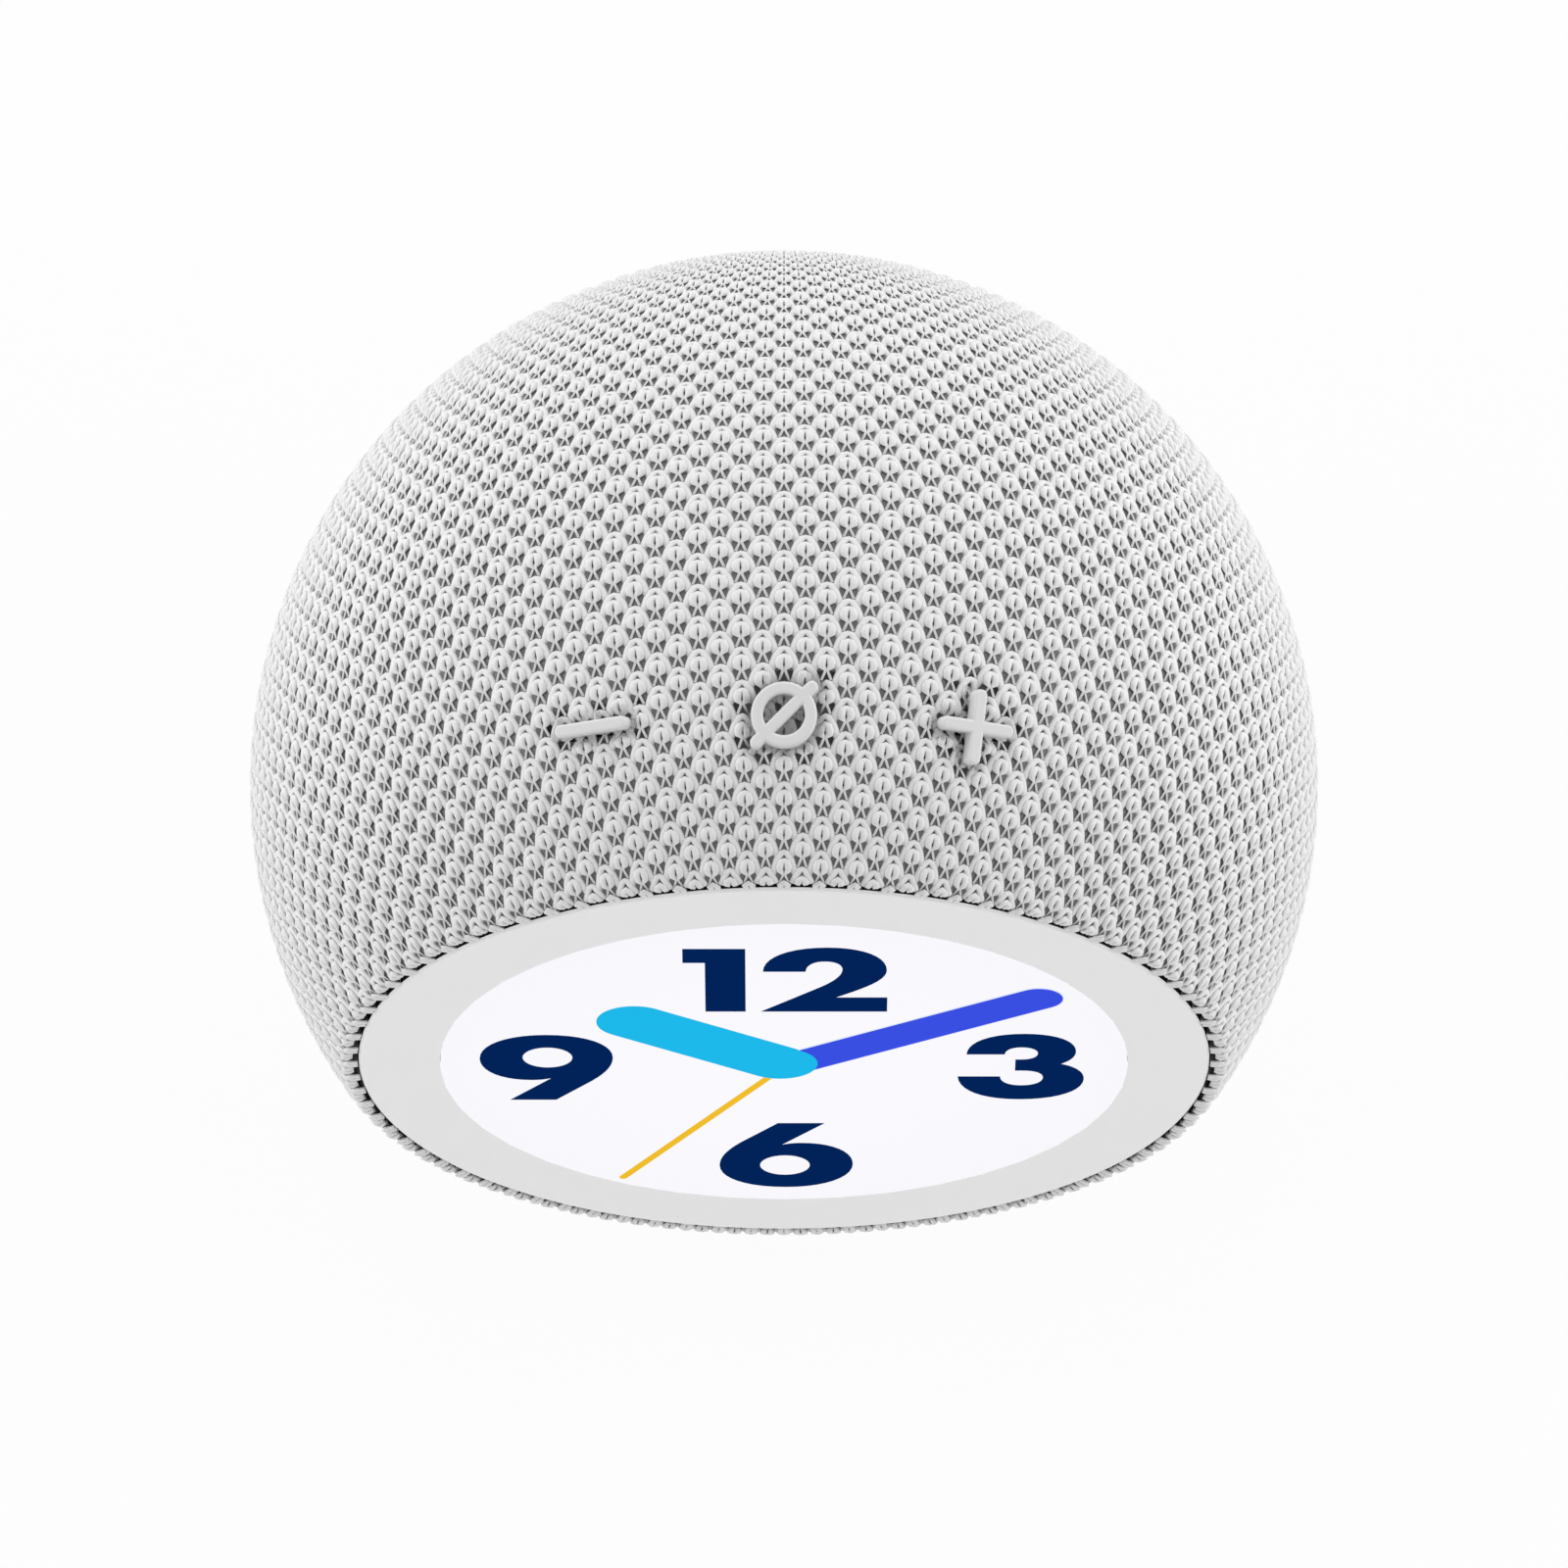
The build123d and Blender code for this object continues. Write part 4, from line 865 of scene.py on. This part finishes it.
    def places(self, flat: Array, necks: tuple[Array, ...]) -> Array:
        """Lay the points of one stitch on the ball, once for each neck.

        Args:
            flat: Points of the stitch in the flat knit.
            necks: Angles and arcs of the necks, and arcs at which the knit ends in their columns.

        Returns:
            Points in the object's frame.
        """
        angles, arcs, ends = necks
        angle = (angles[:, None] + flat[None, :, 0] / self.globe.radius).ravel()
        arc = arcs[:, None] + flat[None, :, 1]
        start, end = self.pull_run
        arc -= self.hem_pull * np.clip((start - arc) / (start - end), 0.0, 1.0)
        past = np.clip(ends[:, None] - arc, 0.0, self.hem_turn).ravel()
        arc = np.clip(arc, ends[:, None], self.length - self.rear_gap).ravel()
        places = self.wrap(angle, arc, np.tile(-flat[:, 2], len(angles)), past)
        for side in KeySide:
            places = KeyGap(side, self.globe).press(places)
        places[:, 2] = np.maximum(places[:, 2] + self.globe.height, self.globe.hem)
        return places

    def copies(self, runs: tuple[Yarn, ...], name: str, necks: tuple[Array, ...]) -> Piece:
        """Model one stitch in the flat knit and copy it to all its places on the ball.

        Args:
            runs: The stitch's runs of yarn.
            name: Name of the piece.
            necks: Angles and arcs of the necks, and arcs at which the knit ends in their columns.

        Returns:
            One object with all the stitches.
        """
        model = Bench.join([run.tube(tile) for tile, run in enumerate(runs)])
        stitch = model.data
        count = len(necks[0])
        flat = np.empty(3 * len(stitch.vertices))
        stitch.vertices.foreach_get("co", flat)
        flat = flat.reshape(-1, 3)
        corners = np.empty(len(stitch.loops), dtype=np.int64)
        stitch.loops.foreach_get("vertex_index", corners)
        sizes = np.empty(len(stitch.polygons), dtype=np.int64)
        stitch.polygons.foreach_get("loop_total", sizes)
        tiles = np.empty(2 * len(stitch.loops))
        stitch.uv_layers[0].data.foreach_get("uv", tiles)
        mesh = bpy.data.meshes.new(name)
        mesh.vertices.add(count * len(flat))
        mesh.vertices.foreach_set("co", self.places(flat, necks).ravel())
        mesh.loops.add(count * len(corners))
        shift = np.arange(count)[:, None] * len(flat)
        mesh.loops.foreach_set("vertex_index", (corners[None, :] + shift).ravel())
        mesh.polygons.add(count * len(sizes))
        starts = np.cumsum(np.tile(sizes, count)) - np.tile(sizes, count)
        mesh.polygons.foreach_set("loop_start", starts)
        mesh.uv_layers.new(name=YARN_MAP).data.foreach_set("uv", np.tile(tiles, count))
        mesh.update(calc_edges=True)
        mesh.validate()
        bpy.data.objects.remove(model)
        piece = bpy.data.objects.new(mesh.name, mesh)
        bpy.context.scene.collection.objects.link(piece)
        Bench.pick([piece])
        bpy.ops.object.shade_smooth()
        return piece

    def build(self, finish: YarnFinish) -> None:
        """Make and dress the panels.

        Args:
            finish: The yarn's finish.
        """
        necks = self.necks()
        angles, arcs = necks[:2]
        width = 2 * math.pi / self.panels
        half_column = math.pi / self.columns / 2
        sector = np.floor((angles + half_column) / width).astype(int)
        hem = arcs < self.first - self.hem_row * self.pitch
        for number in range(self.panels):
            mine = sector == number
            name = f"knit_panel_{number + 1}"
            body = tuple(values[mine & ~hem] for values in necks)
            edge = tuple(values[mine & hem] for values in necks)
            stitches = self.copies((self.loop, self.tent), name, body)
            piece = Bench.join([stitches, self.copies((self.bead,), "hem", edge)])
            Bench.finish(piece, finish.material(), "knit_white")
            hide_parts("knit_cover")


@dataclass
class KnitLining:
    """The knit's back: a thin grey cloth under the stitches, which shows through their gaps."""

    cover: KnitCover
    depth: float = 0.62 * MM
    front: float = -1.10 * MM
    thickness: float = 0.12 * MM
    cells: tuple[int, int] = (256, 96)
    room: float = 0.9 * MM

    def cut(self, sheet: Piece, waste: Array) -> None:
        """Cut away part of the sheet and close its seam.

        Args:
            sheet: The sheet, laid on the ball.
            waste: True for each vertex that goes.
        """
        bpy.ops.object.mode_set(mode="EDIT")
        bpy.ops.mesh.select_mode(type="VERT")
        bpy.ops.mesh.select_all(action="DESELECT")
        bpy.ops.object.mode_set(mode="OBJECT")
        sheet.data.vertices.foreach_set("select", waste)
        bpy.ops.object.mode_set(mode="EDIT")
        bpy.ops.mesh.delete(type="VERT")
        Bench.mend()

    def build(self, finish: Finish) -> None:
        """Make and dress the lining, open round the keys and at the base.

        Args:
            finish: The lining's finish.
        """
        cover = self.cover
        globe = cover.globe
        length = cover.length
        Bench.clear()
        bpy.ops.mesh.primitive_grid_add(x_subdivisions=self.cells[0], y_subdivisions=self.cells[1], size=2.0)
        sheet = bpy.context.object
        sheet.name = "knit_lining"
        sheet.data.name = sheet.name
        grid = np.empty(3 * len(sheet.data.vertices))
        sheet.data.vertices.foreach_get("co", grid)
        across, along, flush = grid.reshape(-1, 3).T
        arc = self.front + (length - self.front) * (along + 1) / 2
        places = cover.wrap(math.pi * (across + 1), arc, flush + self.depth, flush)
        keys = np.min([KeyGap(side, globe).near(places) for side in KeySide], axis=0)
        places[:, 2] += globe.height
        sheet.data.vertices.foreach_set("co", places.ravel())
        self.cut(sheet, (keys < self.room) | (places[:, 2] < globe.hem))
        wall = sheet.modifiers.new("cloth", "SOLIDIFY")
        wall.thickness = self.thickness
        bpy.ops.object.modifier_apply(modifier=wall.name)
        bpy.ops.object.shade_smooth()
        Bench.finish(sheet, finish.material(), "knit_white")
        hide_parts("knit_cover")


@dataclass(frozen=True)
class Outline:
    """Closed outline on the dial, in mm: a start, then lines (a point) and curves (two handles, a point)."""

    start: Point
    runs: tuple[tuple[Point, ...], ...]

    def draw(self, curve: bpy.types.Curve) -> None:
        """Add the outline to a flat curve.

        Args:
            curve: The curve's data.
        """
        runs = list(self.runs)
        if runs[-1][-1] != self.start:
            runs.append((self.start,))
        spline = curve.splines.new("BEZIER")
        spline.bezier_points.add(len(runs) - 1)
        spline.use_cyclic_u = True
        for knot, run in zip(spline.bezier_points, runs):
            knot.handle_left_type = "FREE"
            knot.handle_right_type = "FREE"
            knot.co = self.lifted(run[-1])
        for number, run in enumerate(runs):
            begin = runs[number - 1][-1]
            leave, arrive = run[:2] if len(run) == 3 else (begin, run[-1])
            spline.bezier_points[number - 1].handle_right = self.lifted(leave)
            spline.bezier_points[number].handle_left = self.lifted(arrive)

    @staticmethod
    def lifted(point: Point) -> Vector:
        """A dial point in metres, in the outline's plane."""
        return Vector((point[0] * MM, point[1] * MM, 0.0))

    def turned(self, old: Point, new: Point, share: float) -> "Outline":
        """Turn the outline half round and move its middle.

        Args:
            old: Its middle now.
            new: Its middle after the turn.
            share: Its size after the turn, as a share of its size now.

        Returns:
            The turned outline.
        """

        def one(point: Point) -> Point:
            """Turn one point."""
            return new[0] + share * (old[0] - point[0]), new[1] + share * (old[1] - point[1])

        return Outline(one(self.start), tuple(tuple(one(point) for point in run) for run in self.runs))

    @staticmethod
    def round_bar(start: Point, end: Point, radius: float) -> "Outline":
        """Outline of a bar with round ends.

        Args:
            start: Middle of its first end.
            end: Middle of its other end.
            radius: Half its width.

        Returns:
            The outline.
        """
        length = math.hypot(end[0] - start[0], end[1] - start[1])
        if length > 0:
            way = ((end[0] - start[0]) / length, (end[1] - start[1]) / length)
        else:
            way = (1.0, 0.0)

        def at(middle: Point, along: float, aside: float) -> Point:
            """Point beside one end."""
            x = middle[0] + radius * (along * way[0] - aside * way[1])
            y = middle[1] + radius * (along * way[1] + aside * way[0])
            return x, y

        bow = 0.5523
        return Outline(
            at(start, 0, -1),
            (
                (at(end, 0, -1),),
                (at(end, bow, -1), at(end, 1, -bow), at(end, 1, 0)),
                (at(end, 1, bow), at(end, bow, 1), at(end, 0, 1)),
                (at(start, 0, 1),),
                (at(start, -bow, 1), at(start, -1, bow), at(start, -1, 0)),
                (at(start, -1, -bow), at(start, -bow, -1), at(start, 0, -1)),
            ),
        )


ONE = Outline(
    (-10.14, 29.03),
    (((-3.86, 29.03),), ((-3.86, 13.63),), ((-7.91, 13.63),), ((-7.91, 25.65),), ((-10.14, 25.65),)),
)
TWO = Outline(
    (-2.31, 13.63),
    (
        ((10.38, 13.63),),
        ((10.38, 17.11),),
        ((5.18, 17.11),),
        ((8.24, 19.57), (10.28, 21.39), (10.28, 23.83)),
        ((10.28, 27.17), (7.88, 29.37), (4.31, 29.37)),
        ((0.44, 29.37), (-2.11, 26.93), (-2.11, 23.49)),
        ((2.17, 23.49),),
        ((2.17, 24.96), (2.88, 25.99), (4.06, 25.99)),
        ((5.18, 25.99), (5.84, 25.2), (5.84, 24.03)),
        ((5.84, 22.27), (4.67, 20.7), (3.4, 19.42)),
    ),
)
THREE = Outline(
    (18.53, 2.84),
    (
        ((22.43, 2.84),),
        ((22.43, 3.86), (23.05, 4.62), (24.09, 4.62)),
        ((25.11, 4.62), (25.78, 3.96), (25.78, 3.09)),
        ((25.78, 2.18), (25.22, 1.52), (24.04, 1.52)),
        ((23.52, 1.52),),
        ((23.52, -1.27),),
        ((24.24, -1.27),),
        ((25.58, -1.27), (26.4, -1.87), (26.4, -3.04)),
        ((26.4, -4.31), (25.47, -5.07), (24.19, -5.07)),
        ((22.9, -5.07), (22.03, -4.16), (22.03, -2.79)),
        ((17.7, -2.79),),
        ((17.86, -6.44), (20.32, -8.62), (24.09, -8.62)),
        ((28.05, -8.62), (30.58, -6.44), (30.58, -3.4)),
        ((30.58, -1.52), (29.59, -0.2), (28.15, 0.41)),
        ((29.07, 1.17), (29.64, 2.18), (29.64, 3.55)),
        ((29.64, 6.24), (27.53, 8.01), (24.34, 8.01)),
        ((20.84, 8.01), (18.58, 5.99), (18.53, 2.84)),
    ),
)
SIX = Outline(
    (-0.63, -14.85),
    (
        ((4.17, -14.85),),
        ((-0.26, -20.55),),
        ((0.35, -20.19), (1.08, -20.03), (1.86, -20.03)),
        ((5.0, -20.03), (7.14, -22.28), (7.14, -25.52)),
        ((7.14, -29.17), (4.22, -31.67), (0.2, -31.67)),
        ((-4.13, -31.67), (-6.68, -29.17), (-6.68, -25.93)),
        ((-6.68, -23.06), (-5.27, -20.82), (-3.6, -18.73)),
    ),
)
SIX_HOLE = Outline.round_bar((0.1, -25.85), (0.1, -25.85), 2.58)
SIX_MIDDLE = (0.23, -23.27)
NINE_MIDDLE = (-24.16, -0.5)
NINE_SHARE = 0.98


@dataclass(frozen=True)
class DialMark:
    """One mark of the dial's picture, a thin plate on the lens."""

    name: str
    outlines: tuple[Outline, ...]
    thickness: float
    colour: Colour


MINUTE_RUN = ((0.0, 0.0), (25.56, 16.89))


@dataclass
class DialPicture:
    """The lit picture on the lens: ground, numerals and hands, in mm."""

    globe: Globe
    radius: float = 35.02
    ground: Colour = SCREEN_WHITE
    ground_thickness: float = 0.020
    numeral: Colour = shade(2, 35, 89)
    numeral_thickness: float = 0.045
    hands: tuple[DialMark, ...] = (
        DialMark(
            "second_hand",
            (Outline.round_bar((0.0, -0.30), (-16.70, -29.03), 0.41),),
            0.065,
            shade(241, 190, 40),
        ),
        DialMark("minute_edge", (Outline.round_bar(*MINUTE_RUN, 2.60),), 0.085, shade(225, 232, 252)),
        DialMark("minute_hand", (Outline.round_bar(*MINUTE_RUN, 2.47),), 0.105, shade(57, 79, 226)),
        DialMark(
            "hour_hand",
            (Outline.round_bar((-0.41, 0.66), (-15.11, 11.11), 3.83),),
            0.125,
            shade(29, 185, 234),
        ),
    )

    def marks(self) -> list[DialMark]:
        """List the picture's marks, from the lowest to the highest.

        Returns:
            The marks.
        """
        disc = Outline.round_bar((0.0, 0.0), (0.0, 0.01), self.radius)
        six = (SIX, SIX_HOLE)
        nine = tuple(outline.turned(SIX_MIDDLE, NINE_MIDDLE, NINE_SHARE) for outline in six)
        numerals = {"one": (ONE,), "two": (TWO,), "three": (THREE,), "six": six, "nine": nine}
        marks = [DialMark("dial_ground", (disc,), self.ground_thickness, self.ground)]
        for name, outlines in numerals.items():
            marks.append(DialMark(f"dial_{name}", outlines, self.numeral_thickness, self.numeral))
        return marks + list(self.hands)

    def plate(self, mark: DialMark) -> Piece:
        """Model one mark as a thin plate on the lens.

        Args:
            mark: The mark.

        Returns:
            The plate, in place.
        """
        drawn = Bench.curve(flat=True)
        drawn.data.fill_mode = "BOTH"
        drawn.data.resolution_u = 10
        drawn.data.extrude = mark.thickness * MM / 2
        for outline in mark.outlines:
            outline.draw(drawn.data)
        plate = Bench.to_mesh(drawn, mark.name)
        plate.data.transform(self.globe.face_frame(self.globe.face + mark.thickness * MM / 2))
        return plate

    def build(self) -> None:
        """Make and dress every mark."""
        middle = tuple(self.globe.face_frame(self.globe.face).translation)
        for mark in self.marks():
            lit = LitFinish(f"lit_{mark.name}", mark.colour, roughness=0.3, specular=0.0, centre=middle)
            Bench.finish(self.plate(mark), lit.material(), "display_lit")


@dataclass
class CadDress:
    """Finishes of the pieces that come from the solids, by material slot."""

    globe: Globe
    brushed: tuple[float, float, float] = (1.0, 1.0, 30.0)

    def finishes(self) -> dict[str, Finish]:
        """List the finish of each slot.

        Returns:
            The finishes by slot.
        """
        middle = tuple(self.globe.face_frame(self.globe.face).translation)
        return {
            "shell_grey": Finish("shell_fine_matte", (0.34, 0.34, 0.345), 0.6),
            "frame_black": Finish("frame_matte", (0.012, 0.012, 0.012), 0.6),
            "lens_lit": LitFinish("lit_lens", SCREEN_WHITE, 0.3, specular=0.0, centre=middle),
            "border_grey": RimmedFinish(
                "bezel_fine_matte",
                (0.94, 0.94, 0.945),
                0.6,
                specular=0.2,
                tone=0.012,
                depth=0.01,
                centre=middle,
                out=tuple(self.globe.face_frame().col[2][:3]),
            ),
            "tape_black": Finish("tape_foam", (0.02, 0.02, 0.02), 0.9, scale=3000.0, depth=0.05),
            "display_lit": LitFinish("lit_cell", SCREEN_WHITE, 0.3, specular=0.0, centre=middle),
            "backlight_white": Finish("backlight_case", (0.8, 0.8, 0.8), 0.5),
            "bracket_metal": Finish(
                "bracket_sheet", (0.62, 0.62, 0.63), 0.35, 1.0, stretch=self.brushed, scale=800.0
            ),
            "screw_steel": Finish("screw_steel", (0.55, 0.55, 0.56), 0.3, 1.0, scale=3000.0),
            "standoff_brass": Finish("standoff_turned", (0.62, 0.44, 0.17), 0.3, 1.0, scale=3000.0),
            "flex_amber": Finish("flex_film", (0.42, 0.19, 0.03), 0.35, tone=0.1),
            "board_green": Finish("board_mask", (0.015, 0.15, 0.06), 0.4, tone=0.2, scale=1500.0),
            "shield_metal": Finish("shield_tin", (0.66, 0.66, 0.67), 0.35, 1.0, scale=2500.0),
            "connector_black": Finish("connector_moulded", (0.02, 0.02, 0.02), 0.4),
            "key_grey": Finish(
                "key_fine_matte", (0.72, 0.72, 0.72), 0.5, specular=0.3, tone=0.02, depth=0.01
            ),
            "plunger_white": Finish("plunger_moulded", (0.75, 0.75, 0.75), 0.5),
            "actuator_black": Finish("actuator_moulded", (0.03, 0.03, 0.03), 0.5),
            "soft_black": Finish("soft_rubber", (0.025, 0.025, 0.025), 0.8, scale=3000.0),
            "box_black": Finish("box_moulded", (0.035, 0.035, 0.035), 0.6, depth=0.04),
            "basket_black": Finish("basket_powder", (0.03, 0.03, 0.03), 0.55, scale=2500.0, depth=0.06),
            "magnet_metal": Finish("magnet_plate", (0.55, 0.55, 0.56), 0.3, 1.0, scale=2500.0),
            "coil_copper": Finish(
                "coil_winding", (0.60, 0.25, 0.09), 0.4, 1.0, stretch=self.brushed, scale=400.0
            ),
            "cone_black": Finish("cone_pressed", (0.03, 0.03, 0.03), 0.85, scale=2000.0, depth=0.06),
            "spider_cloth": Finish("spider_cloth", (0.42, 0.26, 0.08), 0.9, scale=2500.0, depth=0.08),
            "base_grey": Finish("base_fine_matte", (0.58, 0.58, 0.58), 0.55, depth=0.03),
            "foot_rubber": Finish("foot_rubber", (0.12, 0.12, 0.12), 0.85, scale=2500.0, depth=0.05),
            "inlet_steel": Finish("inlet_plated", (0.60, 0.60, 0.61), 0.3, 1.0, scale=2500.0),
            "lead_black": Finish("lead_jacket", (0.02, 0.02, 0.02), 0.6, scale=2500.0),
        }

    def dress(self, subparts: Iterable[dict[str, str]]) -> None:
        """Give every node from the solids its material.

        Args:
            subparts: The record's nodes with their slots.
        """
        finishes = self.finishes()
        for part in subparts:
            finish = finishes.get(part["material_slot"])
            if finish is None:
                continue
            mesh = frame["nodes"][part["node"]].data
            mesh.materials.clear()
            mesh.materials.append(finish.material())
            LOG.info("%s: %s", part["node"], finish.name)


@dataclass(frozen=True)
class Lamp:
    """A soft square lamp that looks at the ball."""

    name: str
    place: tuple[float, float, float]
    size: float
    power: float

    def build(self, target: Vector) -> None:
        """Hang the lamp.

        Args:
            target: What it looks at.
        """
        Bench.clear()
        bpy.ops.object.light_add(type="AREA", location=self.place)
        lamp = bpy.context.object
        lamp.name = self.name
        lamp.data.size = self.size
        lamp.data.energy = self.power
        lamp.rotation_euler = (target - Vector(self.place)).to_track_quat("-Z", "Y").to_euler()
        LOG.info("%s", self.name)


@dataclass
class Studio:
    """Pale floor, soft light and the camera."""

    globe: Globe
    elevation: float = math.radians(82.9)
    distance: float = 1.21
    lens: float = 270.0
    aim_drop: float = -0.05 * MM
    floor_size: float = 8.0
    floor_colour: Colour = (0.92, 0.92, 0.92)
    floor_show: float = 0.93
    zenith: float = 0.42
    horizon: float = 0.85
    behind: float = 0.50
    lamps: tuple[Lamp, ...] = (
        Lamp("lamp_left", (-1.0, 0.10, 0.45), 0.9, 4.4),
        Lamp("lamp_right", (1.0, 0.10, 0.45), 0.9, 4.6),
        Lamp("lamp_back", (0.0, 1.1, 0.6), 0.9, 3.4),
    )

    def camera(self) -> None:
        """Set the camera at the photograph's angle."""
        rise = Vector((0.0, math.sin(self.elevation), math.cos(self.elevation)))
        back = Vector((0.0, -math.cos(self.elevation), math.sin(self.elevation)))
        target = self.globe.centre - rise * self.aim_drop
        Bench.clear()
        bpy.ops.object.camera_add(location=target + back * self.distance)
        camera = bpy.context.object
        camera.name = "camera"
        camera.rotation_euler = (-back).to_track_quat("-Z", "Y").to_euler()
        camera.data.lens = self.lens
        camera.data.sensor_width = 36.0
        camera.data.clip_end = 50.0
        bpy.context.scene.camera = camera

    def floor(self) -> None:
        """Lay the pale floor, which the camera sees almost white with the ball's shadow."""
        Bench.clear()
        bpy.ops.mesh.primitive_plane_add(size=self.floor_size)
        floor = bpy.context.object
        floor.name = "floor"
        material = bpy.data.materials.new("floor_pale")
        material.use_nodes = True
        material.node_tree.nodes.clear()
        graph = Graph(material.node_tree)
        lit = graph.add("ShaderNodeBsdfDiffuse", {"Color": (*self.floor_colour, 1.0)})
        plain = graph.add("ShaderNodeEmission", {"Color": (1.0, 1.0, 1.0, 1.0), "Strength": 1.0})
        share = graph.math("MULTIPLY", graph.sights(), self.floor_show)
        mixed = graph.add("ShaderNodeMixShader", {0: share, 1: lit.outputs[0], 2: plain.outputs[0]})
        graph.add("ShaderNodeOutputMaterial", {"Surface": mixed.outputs[0]})
        floor.data.materials.append(material)

    def world(self) -> None:
        """Fill the room with soft light, brighter low down and behind, and show it white."""
        world = bpy.data.worlds.new("studio")
        world.use_nodes = True
        world.node_tree.nodes.clear()
        graph = Graph(world.node_tree)
        way = graph.add("ShaderNodeTexCoord").outputs["Generated"]
        split = graph.add("ShaderNodeSeparateXYZ", {0: way}).outputs
        height = graph.math("MAXIMUM", split["Z"], 0.0)
        low = graph.math("POWER", graph.math("SUBTRACT", 1.0, height), 2.0)
        rear = graph.math("MULTIPLY", graph.math("MAXIMUM", split["Y"], 0.0), self.behind)
        level = graph.math("MULTIPLY", low, graph.math("ADD", rear, self.horizon))
        strength = graph.math("ADD", level, self.zenith)
        light = graph.add("ShaderNodeBackground", {"Color": (1.0, 1.0, 1.0, 1.0), "Strength": strength})
        plain = graph.add("ShaderNodeBackground", {"Color": (1.0, 1.0, 1.0, 1.0), "Strength": 1.0})
        parts = {0: graph.sights(), 1: light.outputs[0], 2: plain.outputs[0]}
        mixed = graph.add("ShaderNodeMixShader", parts)
        graph.add("ShaderNodeOutputWorld", {"Surface": mixed.outputs[0]})
        bpy.context.scene.world = world

    def build(self) -> None:
        """Set up floor, light and camera."""
        self.floor()
        self.world()
        for lamp in self.lamps:
            lamp.build(self.globe.centre)
        self.camera()
        bpy.context.scene.view_settings.view_transform = "Standard"


def main() -> None:
    """Build the clock's looks in order."""
    logging.basicConfig(level=logging.INFO, format="%(name)s: %(message)s")
    globe = Globe()
    Studio(globe).build()
    CadDress(globe).dress(frame["record"]["subparts"])
    yarn = YarnFinish("white_yarn", (0.785, 0.785, 0.785), specular=0.1, tone=0.08, depth=0.05, sheen=0.08)
    cover = KnitCover(globe)
    cover.build(yarn)
    KnitLining(cover).build(Finish("grey_lining", (0.13, 0.13, 0.131), 0.5, specular=0.6, sheen=1.0))
    DialPicture(globe).build()


if __name__ == "__main__":
    main()
